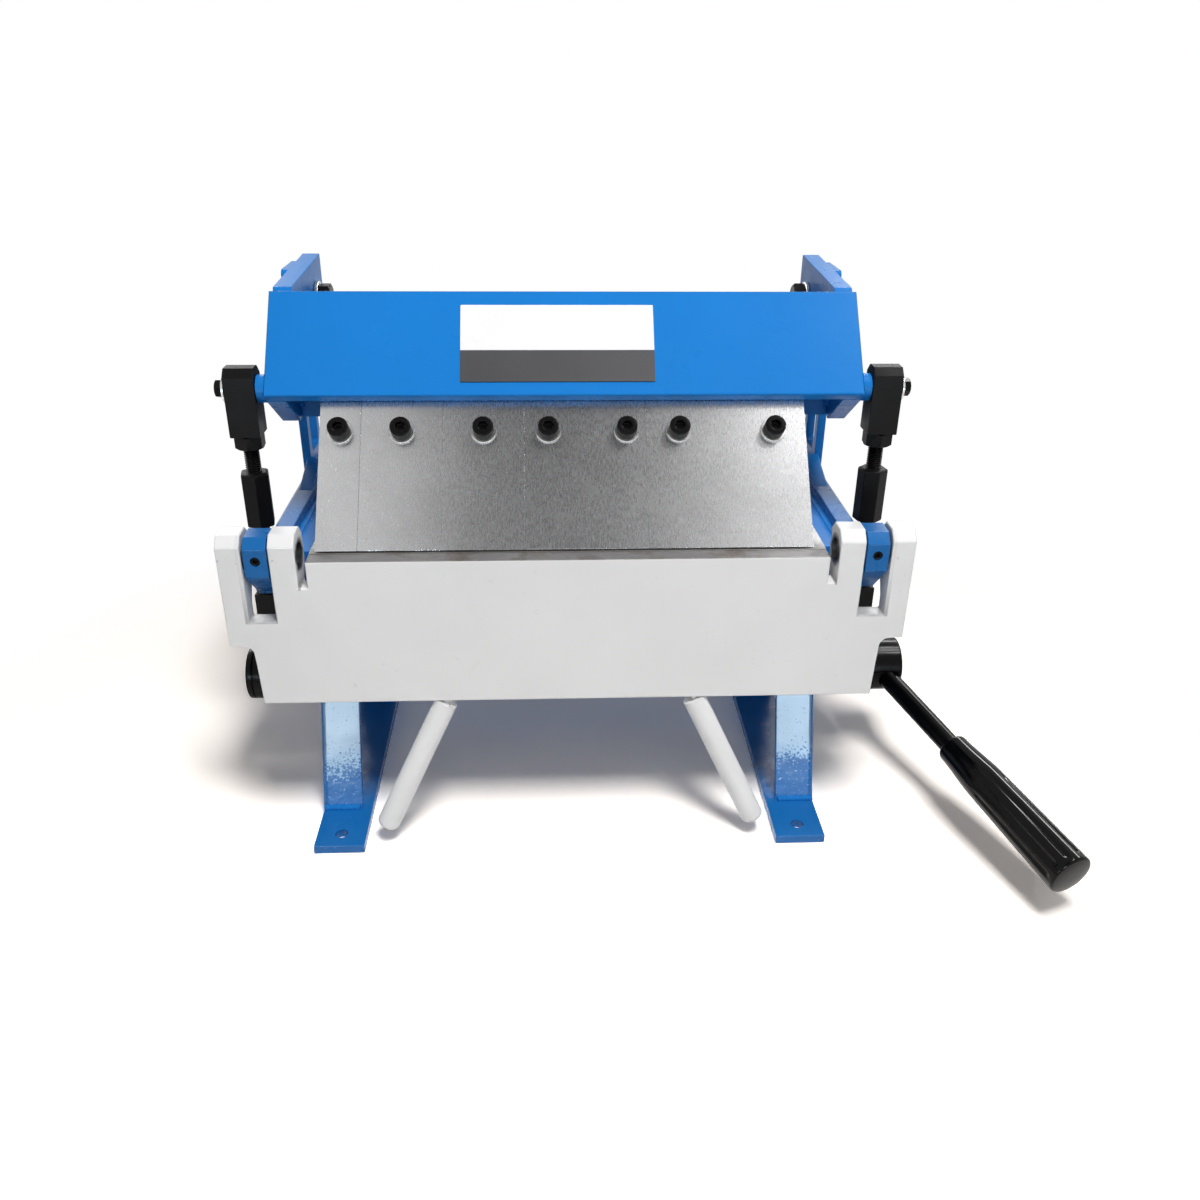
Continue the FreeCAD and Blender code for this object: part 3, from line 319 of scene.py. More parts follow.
@node_group("Edge Wear", "ShaderNodeTree", (
    ("Amount", "number", 0.5), ("Chip Scale", "number", 160.0)), (("Mask", "number"),))
def edge_wear_group(wires, given, result):
    """Mask of small chips, only on the rounded edges of a piece."""
    place = wires.object_place()
    edge = wires.add("ShaderNodeAttribute", attribute_name="edge", attribute_type="GEOMETRY")
    chips = wires.noise(place, given["Chip Scale"], 4.0, 0.65)
    limit = wires.minus(0.78, wires.times(given["Amount"], 0.3))
    mask = wires.times(wires.minus(chips, limit), 12.0, clamp=True)
    wires.fill(result, Mask=wires.times(mask, edge.outputs["Fac"]))


# Finishes

def opaque(tint):
    return (*tint, 1.0)


def empty_material(name):
    material = bpy.data.materials.new(name)
    material.use_nodes = True
    material.node_tree.nodes.clear()
    return Wires(material.node_tree), material


def new_finish(name, **plain):
    """A material with a Principled shader: (wires, shader, material); plain: its constants."""
    wires, material = empty_material(name)
    shader = wires.add("ShaderNodeBsdfPrincipled")
    wires.fill(shader.inputs, **plain)
    wires.add("ShaderNodeOutputMaterial", {"Surface": shader.outputs[0]})
    return wires, shader, material


def source_of(shader, name):
    return shader.inputs[name].links[0].from_socket


def coated(wires, shader, surface, depth):
    """Takes colour, roughness and bump from the outputs of a group."""
    wires.fill(shader.inputs, Base_Color=surface["Colour"], Roughness=surface["Roughness"])
    bumped(wires, shader, surface["Height"], depth)


def bumped(wires, shader, height, distance):
    bump = wires.add("ShaderNodeBump", {"Height": height, "Distance": distance})
    wires.fill(shader.inputs, Normal=bump.outputs[0])


def painted(name, tint, grime, roughness, wear, tone, coat, specular=0.5, peel=420.0,
            depth=0.00004, bare=(0.16, 0.17, 0.19), dress=None):
    """Enamelled metal with chipped edges; dress adds what only one piece has."""
    wires, shader, material = new_finish(name, Coat_Weight=coat, Coat_Roughness=0.08,
                                         Specular_IOR_Level=specular)
    paint = wires.group(sprayed_paint_group(), {
        "Paint": opaque(tint), "Grime Amount": grime, "Tone Change": tone,
        "Base Roughness": roughness, "Peel Scale": peel})
    chips = wires.group(edge_wear_group(), {"Amount": wear})["Mask"]
    wires.fill(shader.inputs, Base_Color=wires.mix(chips, paint["Colour"], opaque(bare)),
               Roughness=wires.plus(paint["Roughness"], wires.times(chips, 0.15), clamp=True),
               Metallic=wires.times(chips, 0.7))
    bumped(wires, shader, paint["Height"], depth)
    if dress:
        dress(wires, shader)
    return material


def steel(name, light, dark, stain, marks, roughness, grain, turn=(0.0, 0.0, 0.0),
          depth=0.00002):
    """Bare steel or bronze."""
    wires, shader, material = new_finish(name, Metallic=1.0)
    metal = wires.group(ground_steel_group(), {
        "Light": opaque(light), "Dark": opaque(dark), "Stain Amount": stain,
        "Mark Amount": marks, "Base Roughness": roughness, "Grain": grain, "Turn": turn})
    coated(wires, shader, metal, depth)
    return material


def leg_painted_glints(wires, shader):
    """Painted highlight: pale glints on the leg flanges, closed above, single specks towards the
    foot.
    """
    sparse, closed = 0.022, 0.05
    place = wires.object_place()
    height = wires.split(place)["Z"]
    # Only faces that look to the front get the painted highlight.
    front = wires.ramp(wires.face_normal()["Y"], -0.95, -0.8, 1.0, 0.0)
    ragged = wires.plus(height, wires.spread(wires.noise(place, 40.0, 3.0, 0.6), -0.009, 0.009))
    reach = wires.plus(wires.ramp(ragged, sparse, closed, 0.13, 0.5),
                       wires.ramp(ragged, 0.0, sparse, -0.07, 0.0))
    specks = wires.noise(place, 620.0, 2.0, 0.55)
    mask = wires.times(wires.minus(specks, wires.minus(0.74, reach)), 9.0, clamp=True)
    mask = wires.times(wires.times(mask, front), 0.9)
    paint = source_of(shader, "Base Color")
    # The painted highlight colour: pale blue over the enamel.
    wires.fill(shader.inputs, Base_Color=wires.mix(mask, paint, (0.45, 0.72, 1.0, 1.0)))


def leaf_marks(wires, shader):
    """Bare milled edge on top, grease round the hinge, painted shade in the slots, darker towards
    the floor of the notches.
    """
    slot_x, slot_z = (0.1785, 0.1975), (0.159, 0.186)
    notch_x, notch_z = (0.1622, 0.1634), (0.1818, 0.19)
    top_z = (0.1993, 0.2006)
    ears_x = 0.163
    place = wires.object_place()
    axes = wires.split(place)
    across = wires.math("ABSOLUTE", axes["X"])
    smear = wires.noise(place, 190.0, 4.0, 0.65)

    inside = wires.ramp(across, 0.1632, 0.1634, 1.0, 0.0)
    milled = wires.times(wires.between(axes["Z"], *top_z, 0.0001), inside)
    milled = wires.times(milled, wires.ramp(wires.face_normal()["Z"], 0.3, 0.6))
    metal = wires.group(ground_steel_group(), {
        "Light": (0.40, 0.39, 0.38, 1.0), "Dark": (0.13, 0.12, 0.12, 1.0), "Stain Amount": 0.75,
        "Mark Amount": 0.25, "Base Roughness": 0.42, "Grain": (60.0, 1800.0, 600.0)})

    fore = wires.minus(axes["Y"], HINGE_Y)
    high = wires.minus(axes["Z"], HINGE_Z)
    reach = wires.math("SQRT", wires.plus(wires.times(fore, fore), wires.times(high, high)))
    edge = wires.plus(reach, wires.spread(smear, -0.0016, 0.0016))
    grease = wires.times(wires.ramp(edge, 0.0092, 0.0112, 1.0, 0.0),
                         wires.ramp(across, ears_x, ears_x + 0.0001))

    # Painted shade in the two slots: darker towards the slot floor.
    slot = wires.times(wires.ramp(axes["Z"], *slot_z, 0.5, 0.08),
                       wires.between(across, *slot_x, 0.0004))
    slot = wires.times(slot, wires.ramp(axes["Z"], 0.1588, 0.1592))
    # The notches: darker towards their floor.
    notch = wires.times(wires.between(across, *notch_x, 0.0003),
                        wires.ramp(axes["Z"], *notch_z, 0.75, 0.1))
    notch = wires.times(notch, wires.ramp(axes["Z"], 0.1812, 0.1815))
    slot_shade_and_notch_dark = wires.times(wires.larger(slot, notch), wires.ramp(smear, 0.3, 0.6, 0.75, 1.1))
    grease_and_shade = wires.larger(wires.times(grease, 0.85), slot_shade_and_notch_dark)

    tint = wires.mix(milled, source_of(shader, "Base Color"), metal["Colour"])
    rough = wires.plus(source_of(shader, "Roughness"), wires.times(milled, 0.05))
    # Grease and the painted shade of the slots share one dark colour.
    wires.fill(shader.inputs, Base_Color=wires.mix(grease_and_shade, tint, (0.05, 0.045, 0.04, 1.0)),
               Metallic=wires.times(milled, 0.85), Roughness=rough)


def label_finish():
    """Printed plate without words: pale field above, dark field below."""
    wires, shader, material = new_finish("label_print", Coat_Weight=0.3, Coat_Roughness=0.2)
    place = wires.object_place()
    ink = wires.ramp(wires.split(place)["Z"], 0.30475, 0.30505, 1.0, 0.0)
    print_tone = wires.spread(wires.noise(place, 900.0, 2.0, 0.5), 0.95, 1.03)
    pale = wires.shade((0.86, 0.86, 0.87), print_tone)
    dark = wires.shade((0.058, 0.058, 0.062), print_tone)
    paint = wires.group(sprayed_paint_group(), {
        "Paint": wires.mix(ink, pale, dark), "Grime Amount": 0.1, "Tone Change": 0.02,
        "Base Roughness": 0.38, "Peel Scale": 900.0})
    coated(wires, shader, paint, 0.00001)
    return material


def make_finishes(colours):
    """All finishes by name."""
    # leg_blue: a darker copy of the blue enamel, painted shade on the legs and foot bars
    leg_blue = [part * 0.8 for part in colours.blue]
    # nose_shaded_blue: a darker copy of the blue enamel, painted shade on the side plates and
    # their noses
    nose_shaded_blue = [part * 0.72 for part in colours.blue]
    return {
        "blue": painted(
            "blue_enamel", colours.blue, grime=0.12, roughness=0.3, wear=0.14, tone=0.03,
            coat=0.0, specular=0.08),
        "leg_blue": painted(
            "leg_blue_enamel", leg_blue, grime=0.3, roughness=0.22, wear=0.2, tone=0.08,
            coat=0.15, specular=0.2, peel=330.0, depth=0.00010, dress=leg_painted_glints),
        "nose_shaded_blue": painted(
            "side_plate_blue_enamel", nose_shaded_blue, grime=0.7, roughness=0.28, wear=0.3, tone=0.08,
            coat=0.08, specular=0.15, peel=380.0, depth=0.00006),
        "leaf": painted(
            "leaf_white_enamel", colours.white, grime=0.35, roughness=0.36, wear=0.12, tone=0.025,
            coat=0.25, peel=300.0, depth=0.00003, bare=(0.2, 0.2, 0.2), dress=leaf_marks),
        "white": painted(
            "handle_white_enamel", colours.white, grime=0.15, roughness=0.36, wear=0.05, tone=0.02,
            coat=0.15, specular=0.3, peel=280.0, depth=0.00002),
        "black": painted(
            "black_oxide", colours.black, grime=0.1, roughness=0.45, wear=0.35, tone=0.25,
            coat=0.0, specular=0.10, peel=620.0, depth=0.00005, bare=(0.03, 0.028, 0.026)),
        "screw_black": painted(
            "screw_black_oxide", colours.black, grime=0.05, roughness=0.3, wear=0.0, tone=0.2,
            coat=0.0, specular=0.08, peel=700.0, depth=0.00002),
        "grip": painted(
            "grip_plastic", colours.grip, grime=0.0, roughness=0.1, wear=0.0, tone=0.05,
            coat=0.0, specular=0.13, peel=120.0, depth=0.000004),
        "rod": painted(
            "lever_black", colours.grip, grime=0.0, roughness=0.2, wear=0.0, tone=0.1,
            coat=0.0, specular=0.10, peel=300.0, depth=0.00002),
        "finger": steel(
            "finger_steel", colours.steel, (0.5, 0.5, 0.505), stain=0.06, marks=0.8,
            roughness=0.27, grain=(1100.0, 260.0, 260.0), turn=(-SLOPE, 0.0, 0.0),
            depth=0.000002),
        "bed": steel(
            "bed_steel", (0.5, 0.49, 0.47), (0.2, 0.19, 0.18), stain=0.5, marks=0.4,
            roughness=0.36, grain=(70.0, 1700.0, 900.0)),
        "zinc": steel(
            "zinc", (0.78, 0.78, 0.77), (0.5, 0.5, 0.49), stain=0.1, marks=0.2,
            roughness=0.28, grain=(500.0, 500.0, 500.0)),
        "pin": steel(
            "pin_steel", (0.5, 0.5, 0.5), (0.2, 0.2, 0.2), stain=0.35, marks=0.3,
            roughness=0.3, grain=(1500.0, 300.0, 300.0)),
        "bush": steel(
            "bush_steel", (0.2, 0.2, 0.2), (0.06, 0.06, 0.06), stain=0.4, marks=0.2,
            roughness=0.35, grain=(1500.0, 300.0, 300.0)),
        "bronze": steel(
            "bronze", (0.62, 0.42, 0.18), (0.34, 0.21, 0.09), stain=0.4, marks=0.15,
            roughness=0.34, grain=(1200.0, 300.0, 300.0)),
        "label": label_finish(),
    }


FINISHES = {}


def finish(name):
    if not FINISHES:
        FINISHES.update(make_finishes(bpy.context.scene.folder_colours))
    return FINISHES[name]


# Meshes

def body_of(node):
    return NODES[node].parent.name.split(":", 1)[1]


def plain_mesh(thing):
    """The evaluated shape of an object as a mesh of its own."""
    graph = bpy.context.evaluated_depsgraph_get()
    return bpy.data.meshes.new_from_object(
        thing.evaluated_get(graph), preserve_all_data_layers=True, depsgraph=graph)


def link(name, mesh):
    thing = bpy.data.objects.new(name, mesh)
    bpy.context.scene.collection.objects.link(thing)
    return thing


def drop(thing):
    bpy.data.objects.remove(thing, do_unlink=True)


def piece(name, mesh, body, paint, replaced=(), sharp=36.0):
    """The mesh as a finished piece that rides on a body."""
    if not len(mesh.polygons):
        raise RuntimeError("no faces in " + name)
    mesh.materials.clear()
    mesh.polygons.foreach_set("material_index", [0] * len(mesh.polygons))
    mesh.materials.append(finish(paint))
    mesh.polygons.foreach_set("use_smooth", [True] * len(mesh.polygons))
    mesh.set_sharp_from_angle(angle=math.radians(sharp))
    thing = link(name, mesh)
    weigh = thing.modifiers.new("Weighted Normals", "WEIGHTED_NORMAL")
    weigh.keep_sharp = True
    mesh = plain_mesh(thing)
    thing.modifiers.clear()
    thing.data = mesh
    mesh.name = name
    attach(thing, body)
    if replaced:
        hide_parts(*replaced)
    return thing


def rounded(node, width, shortest=0.0025, segments=2, reshape=None):
    """A merged copy of a node's mesh, reshaped if asked, with its long sharp edges rounded."""
    least_angle = 28.0
    work = bmesh.new()
    work.from_mesh(NODES[node].data)
    if reshape:
        reshape(work)
    bmesh.ops.remove_doubles(work, verts=work.verts, dist=1e-6)
    bmesh.ops.dissolve_limit(
        work, angle_limit=math.radians(0.15), verts=work.verts, edges=work.edges)
    weight = work.edges.layers.float.new("bevel_weight_edge")
    for edge in work.edges:
        if len(edge.link_faces) == 2 and edge.calc_length() >= shortest:
            if math.degrees(edge.calc_face_angle(0.0)) > least_angle:
                edge[weight] = 1.0
    mesh = bpy.data.meshes.new(node + "_shape")
    work.to_mesh(mesh)
    work.free()
    if not width:
        return mesh
    mesh.materials.append(None)
    mesh.materials.append(None)
    thing = link(node + "_shape", mesh)
    bevel = thing.modifiers.new("Edges", "BEVEL")
    bevel.limit_method = "WEIGHT"
    bevel.width = width
    bevel.segments = segments
    bevel.use_clamp_overlap = False
    bevel.material = 1
    shaped = plain_mesh(thing)
    drop(thing)
    edge = shaped.attributes.new("edge", "FLOAT", "FACE")
    edge.data.foreach_set("value", [float(face.material_index == 1) for face in shaped.polygons])
    return shaped


def rounded_piece(node, paint, slot, width, **how):
    mesh = rounded(node, width, **how)
    return piece(node + "_piece", mesh, body_of(node), paint, (node,), sharp=46.5)


def hexagon(flats, corner=None):
    """Radius of a hexagon over the angle, cut off by a circle where one is given."""
    def radius(angle):
        reach = flats / 2 / math.cos(angle % (math.pi / 3) - math.pi / 6)
        return min(reach, corner) if corner else reach
    return radius


def knurled(radius, depth, count):
    return lambda angle: radius - depth * (0.5 - 0.5 * math.cos(angle * count))


def solid_of_rings(rings, sides=48, place=Matrix(), closed_ring=False):
    """Closed solid of rings round +Z, from (height, radius) pairs; a radius may be a function."""
    points, faces = [], []
    for height, radius in rings:
        for step in range(sides):
            angle = 2 * math.pi * step / sides
            reach = radius(angle) if callable(radius) else radius
            points.append(place @ Vector(
                (reach * math.cos(angle), reach * math.sin(angle), height)))
    count = len(rings)
    for row in range(count if closed_ring else count - 1):
        base, above = row * sides, (row + 1) % count * sides
        for step in range(sides):
            after = (step + 1) % sides
            faces.append((base + step, base + after, above + after, above + step))
    if not closed_ring:
        faces.append(tuple(reversed(range(sides))))
        faces.append(tuple(range((count - 1) * sides, count * sides)))
    mesh = bpy.data.meshes.new("rings")
    mesh.from_pydata(points, [], faces)
    mesh.validate()
    return mesh


def joined(meshes):
    """One mesh of several."""
    work = bmesh.new()
    for mesh in meshes:
        work.from_mesh(mesh)
    whole = bpy.data.meshes.new("joined")
    work.to_mesh(whole)
    work.free()
    return whole


def facing(origin, direction):
    """Placement whose +Z looks along the direction."""
    turn = Vector(direction).to_track_quat("Z", "Y").to_matrix().to_4x4()
    return Matrix.Translation(Vector(origin)) @ turn


def slope_spot(across, rise, out):
    """A point on the slope of the fingers: along it from its foot, and out of its face."""
    return SLOPE_FOOT + Vector((across, rise * math.cos(SLOPE) - out * math.sin(SLOPE),
                                rise * math.sin(SLOPE) + out * math.cos(SLOPE)))


# Geometry node trees

def finished(wires, shape, given, result):
    """Ends a geometry tree: real geometry in its finish."""
    real = wires.add("GeometryNodeRealizeInstances", {"Geometry": shape})
    coat = wires.add("GeometryNodeSetMaterial", {
        "Geometry": real.outputs[0], "Material": given["Finish"]})
    wires.feed(result[0], coat.outputs[0])


@node_group("Place Fasteners", "GeometryNodeTree", (
    ("Geometry", "shape", None), ("Fastener", "object", None), ("Size", "number", 1.0),
    ("Turn Spread", "number", 0.0), ("Seed", "whole", 1), ("Finish", "finish", None)), (
    ("Geometry", "shape"),))
def fastener_tree(wires, given, result):
    """Puts one fastener on each point, along the point's facing, with a turn of its own."""
    info = wires.add("GeometryNodeObjectInfo", {"Object": given["Fastener"]})
    looks = wires.add("GeometryNodeInputNamedAttribute", {"Name": "facing"},
                      data_type="FLOAT_VECTOR")
    align = wires.add("FunctionNodeAlignRotationToVector", {"Vector": looks.outputs[0]}, axis="Z")
    spread = wires.add("FunctionNodeRandomValue", {
        "Min": 0.0, "Max": given["Turn Spread"], "Seed": given["Seed"]}, data_type="FLOAT")
    spin = wires.add("FunctionNodeAxisAngleToRotation", {
        "Axis": (0.0, 0.0, 1.0), "Angle": wires.outlet(spread, "Value")})
    turn = wires.add("FunctionNodeRotateRotation", {
        "Rotation": align.outputs[0], "Rotate By": spin.outputs[0]}, rotation_space="LOCAL")
    place = wires.add("GeometryNodeInstanceOnPoints", {
        "Points": given["Geometry"], "Instance": wires.outlet(info, "Geometry"),
        "Rotation": turn.outputs[0], "Scale": given["Size"]})
    finished(wires, place.outputs[0], given, result)


@node_group("Cut Thread", "GeometryNodeTree", (
    ("Geometry", "shape", None), ("Length", "number", 0.05), ("Radius", "number", 0.005),
    ("Pitch", "number", 0.0015), ("Depth", "number", 0.0008), ("Sides", "whole", 30),
    ("Rows Each Turn", "number", 6.0), ("Finish", "finish", None)), (("Geometry", "shape"),))
def thread_tree(wires, given, result):
    """A round bar with a helical thread, standing on the origin."""
    turns = wires.over(given["Length"], given["Pitch"])
    rows = wires.math("ROUND", wires.times(turns, given["Rows Each Turn"]))
    bar = wires.add("GeometryNodeMeshCylinder", {
        "Vertices": given["Sides"], "Side Segments": rows, "Radius": given["Radius"],
        "Depth": given["Length"]}, fill_type="NGON")
    spot = wires.split(wires.add("GeometryNodeInputPosition").outputs[0])
    turn = wires.over(wires.math("ARCTAN2", spot["Y"], spot["X"]), 2 * math.pi)
    phase = wires.minus(wires.over(spot["Z"], given["Pitch"]), turn)
    wave = wires.math("PINGPONG", wires.times(phase, 2.0), 1.0)
    flat = wires.times(wires.minus(wave, 0.12), 1.3, clamp=True)
    shrink = wires.minus(1.0, wires.times(flat, wires.over(given["Depth"], given["Radius"])))
    moved = wires.add("ShaderNodeCombineXYZ", {
        "X": wires.times(spot["X"], shrink), "Y": wires.times(spot["Y"], shrink),
        "Z": wires.plus(spot["Z"], wires.over(given["Length"], 2.0))})
    cut = wires.add("GeometryNodeSetPosition", {
        "Geometry": bar.outputs[0], "Position": moved.outputs[0]})
    finished(wires, cut.outputs[0], given, result)


@node_group("Lay Weld", "GeometryNodeTree", (
    ("Geometry", "shape", None), ("Bead", "number", 0.0024), ("Ripple", "number", 0.0022),
    ("Wander", "number", 0.15), ("Seed", "whole", 3), ("Finish", "finish", None)), (
    ("Geometry", "shape"),))
def weld_tree(wires, given, result):
    """A rippled bead along the edges of a mesh."""
    path = wires.add("GeometryNodeMeshToCurve", {"Mesh": given["Geometry"]})
    even = wires.add("GeometryNodeResampleCurve", {
        "Curve": path.outputs[0], "Length": wires.over(given["Ripple"], 4.0)}, mode="LENGTH")
    along = wires.add("GeometryNodeSplineParameter")
    kept = wires.add("GeometryNodeCaptureAttribute")
    kept.capture_items.new("FLOAT", "Along")
    wires.feed(kept.inputs[0], even.outputs[0])
    wires.feed(kept.inputs[1], along.outputs["Length"])
    ring = wires.add("GeometryNodeCurvePrimitiveCircle", {
        "Resolution": 9, "Radius": given["Bead"]})
    tube = wires.add("GeometryNodeCurveToMesh", {
        "Curve": kept.outputs[0], "Profile Curve": ring.outputs[0], "Fill Caps": True})
    ripples = wires.over(kept.outputs[1], given["Ripple"])
    wave = wires.math("SINE", wires.times(ripples, 2 * math.pi))
    noise = wires.add("ShaderNodeTexNoise", {
        "Vector": wires.add("GeometryNodeInputPosition").outputs[0],
        "W": given["Seed"], "Scale": 260.0, "Detail": 2.0}, noise_dimensions="4D")
    stray = wires.times(wires.minus(noise.outputs[0], 0.5), wires.times(given["Wander"], 4.0))
    lift = wires.plus(wires.times(wave, 0.09), stray)
    push = wires.shade(wires.add("GeometryNodeInputNormal").outputs[0],
                       wires.times(lift, given["Bead"]))
    laid = wires.add("GeometryNodeSetPosition", {"Geometry": tube.outputs[0], "Offset": push})
    finished(wires, laid.outputs[0], given, result)


def grown(tree, host_mesh, settings):
    """The mesh that a geometry tree makes from a host mesh. settings go by input name."""
    host = link("host", host_mesh)
    grower = host.modifiers.new(tree.name, "NODES")
    grower.node_group = tree
    names = {item.name: item.identifier for item in tree.interface.items_tree
             if item.item_type == "SOCKET" and item.in_out == "INPUT"}
    for key, value in settings.items():
        grower[names[key]] = value
    host.update_tag()
    mesh = plain_mesh(host)
    host.modifiers.clear()
    drop(host)
    return mesh


def fasteners(template, spots, direction, paint, seed=None):
    """Copies of a template mesh at spots; with a seed, each has a turn of its own."""
    host = bpy.data.meshes.new("spots")
    host.from_pydata([Vector(spot) for spot in spots], [], [])
    aims = [direction(spot) if callable(direction) else direction for spot in spots]
    looks = host.attributes.new("facing", "FLOAT_VECTOR", "POINT")
    looks.data.foreach_set("vector", [part for aim in aims for part in aim])
    shape = link("template", template)
    mesh = grown(fastener_tree(), host, {
        "Fastener": shape, "Size": 1.0, "Turn Spread": 0.0 if seed is None else 1.0,
        "Seed": seed or 1, "Finish": finish(paint)})
    drop(shape)
    return mesh


def fitted(name, node, template, spots, direction, paint, seed=None, sharp=36.0):
    """Fasteners as one piece in the place of a node."""
    mesh = fasteners(template, spots, direction, paint, seed)
    piece(name, mesh, body_of(node), paint, (node,), sharp)


def both_sides(across, depth, height):
    return [(sign * across, depth, height) for sign in SIGNS]


def outward(spot):
    return (math.copysign(1.0, spot[0]), 0.0, 0.0)


def inward(spot):
    return (-math.copysign(1.0, spot[0]), 0.0, 0.0)


def weld_beads(seams, paint, seed):
    """Beads along seams of the right half and their mirror images."""
    sizes = bpy.context.scene.folder_sizes
    points = [(sign * x, y, z) for sign in SIGNS for seam in seams for x, y, z in seam]
    host = bpy.data.meshes.new("seams")
    host.from_pydata(points, [(start, start + 1) for start in range(0, len(points), 2)], [])
    return grown(weld_tree(), host, {
        "Bead": sizes.bead_size, "Ripple": sizes.bead_ripple, "Wander": 0.12, "Seed": seed,
        "Finish": finish(paint)})


# Templates of turned pieces, from sizes in metres

def cap_screw(head, high, key, shank, length):
    """Socket head screw: foot of the head at zero, shank below."""
    radius = head / 2
    grip = knurled(radius, radius * 0.035, 36)
    socket = hexagon(key)
    return solid_of_rings([
        (-length, shank / 2 - 0.0006), (-length + 0.0006, shank / 2), (-0.0001, shank / 2),
        (0.0, radius - 0.0004), (0.0004, grip), (high - 0.0012, grip),
        (high - 0.0008, radius - 0.0001), (high - 0.0003, radius - 0.0005),
        (high, radius - 0.0011), (high, key * 0.62), (high - 0.0003, hexagon(key, key * 0.6)),
        (high - 0.0006, socket), (high - 0.0045, socket), (high - 0.0052, key * 0.3)], sides=72)


def grub_screw(key):
    """Headless screw with a hexagon socket."""
    socket = hexagon(key)
    return solid_of_rings([
        (0.0, 0.0024), (0.0005, 0.0029), (0.0032, 0.0029), (0.0037, 0.0025), (0.0037, 0.0019),
        (0.0035, socket), (0.0012, socket), (0.0011, 0.0005)], sides=36)


def chamfer(flats):
    """Of a hexagon head: face radius, drop at the corners, drop at the flats, rounded outline."""
    face = flats * 0.475
    slant = 0.577
    corner = flats / math.sqrt(3)
    return (face, (corner - face) * slant, (flats / 2 - face) * slant,
            hexagon(flats, flats / 2 * 1.015))


def hex_bolt(flats, high, shank, length, washer_face=0.0004):
    """Hexagon bolt: underside of the head at zero, shank below."""
    face, drop_corner, drop_flat, worn = chamfer(flats)
    sharp = hexagon(flats, flats / math.sqrt(3))
    return solid_of_rings([
        (-length, shank / 2 - 0.0008), (-length + 0.0008, shank / 2), (-0.0001, shank / 2),
        (0.0, face), (washer_face, face), (washer_face + 0.0001, sharp),
        (high - drop_corner, sharp), (high - drop_flat, worn), (high, face),
        (high - 0.0002, face * 0.72), (high - 0.0002, face * 0.3)])


def hex_nut(flats, high, bore):
    """Hexagon nut with two flats facing along X."""
    face, drop_corner, drop_flat, worn = chamfer(flats)
    return solid_of_rings([
        (0.0, bore / 2 + 0.0006), (0.0, face), (drop_flat, worn), (drop_corner, hexagon(flats)),
        (high - drop_corner, hexagon(flats)), (high - drop_flat, worn), (high, face),
        (high, bore / 2 + 0.0006), (high - 0.0008, bore / 2 - 0.0002),
        (0.0008, bore / 2 - 0.0002)],
        place=Matrix.Rotation(math.pi / 6, 4, "Z"), closed_ring=True)


def washer(outer, bore, thick):
    """Flat washer, its face on zero."""
    edge = min(0.0003, thick * 0.25)
    return solid_of_rings([
        (0.0, bore / 2), (0.0, outer / 2 - edge), (edge, outer / 2), (thick - edge, outer / 2),
        (thick, outer / 2 - edge), (thick, bore / 2 + edge), (thick - edge, bore / 2)],
        closed_ring=True)


# Operators

class PiecesOperator:
    """Shared by the operators that build pieces"""
    bl_options = {"REGISTER"}

    def execute(self, context):
        self.build(context.scene.folder_sizes)
        return {"FINISHED"}


class FOLDER_OT_base(PiecesOperator, bpy.types.Operator):
    """Side plates, posts, cross plate, hangers, legs and foot bars"""
    bl_idname = "folder.base"
    bl_label = "Base"

    def build(self, sizes):
        rounded_piece("base_cross_plate", "blue", "base_blue", sizes.plate_edge)
        for side in SIDES:
            for paint, nodes in (
                    ("nose_shaded_blue", ("side_plate_",)),
                    ("blue", ("post_", "post_gusset_", "shaft_hanger_")),
                    ("leg_blue", ("foot_bar_", "leg_front_", "leg_rear_"))):
                for node in nodes:
                    rounded_piece(node + side, paint, "base_blue", sizes.plate_edge)


class FOLDER_OT_bed(PiecesOperator, bpy.types.Operator):
    """Bare steel bed bar"""
    bl_idname = "folder.bed"
    bl_label = "Bed Bar"

    def build(self, sizes):
        rounded_piece("bed_bar", "bed", "bare_steel", 0.0003)


class FOLDER_OT_leaf(PiecesOperator, bpy.types.Operator):
    """White bending leaf with its bushes and handles"""
    bl_idname = "folder.leaf"
    bl_label = "Bending Leaf"

    @staticmethod
    def deepen(work):
        """Lower the floors of the two slots to their photographed depth."""
        inner, outer = SLOT_WALLS_X
        for point in work.verts:
            if inner < abs(point.co.x) < outer and abs(point.co.z - SLOT_FLOOR) < 0.0002:
                point.co.z -= SLOT_EXTRA

    def build(self, sizes):
        rounded_piece("bending_leaf", "leaf", "leaf_white", sizes.leaf_edge, segments=3,
                      reshape=self.deepen)
        rounded_piece("ear_bushes", "bush", "bare_steel", 0.0003, shortest=0.0)
        for side in SIDES:
            rounded_piece("leaf_handle_" + side, "white", "leaf_white", 0.0)


class FOLDER_OT_hinge(PiecesOperator, bpy.types.Operator):
    """Hinge pins and the grub screws of the noses"""
    bl_idname = "folder.hinge"
    bl_label = "Hinge"

    def build(self, sizes):
        rounded_piece("hinge_pins", "pin", "bare_steel", sizes.turned_edge, shortest=0.0)
        fitted("nose_grub_screws", "nose_screws", grub_screw(0.003),
               both_sides(NOSE_X, NOSE_FRONT_Y, HINGE_Z), (0.0, -1.0, 0.0),
               "screw_black", seed=4)


class FOLDER_OT_beam(PiecesOperator, bpy.types.Operator):
    """Apron, arms and cross plate of the clamping beam"""
    bl_idname = "folder.beam"
    bl_label = "Clamping Beam"

    def build(self, sizes):
        rounded_piece("beam_apron", "blue", "base_blue", 0.0007)
        rounded_piece("beam_cross_plate", "blue", "base_blue", sizes.plate_edge)
        for side in SIDES:
            rounded_piece("beam_arm_" + side, "blue", "base_blue", sizes.plate_edge)
        rounded_piece("finger_bar", "bed", "bare_steel", 0.0003)


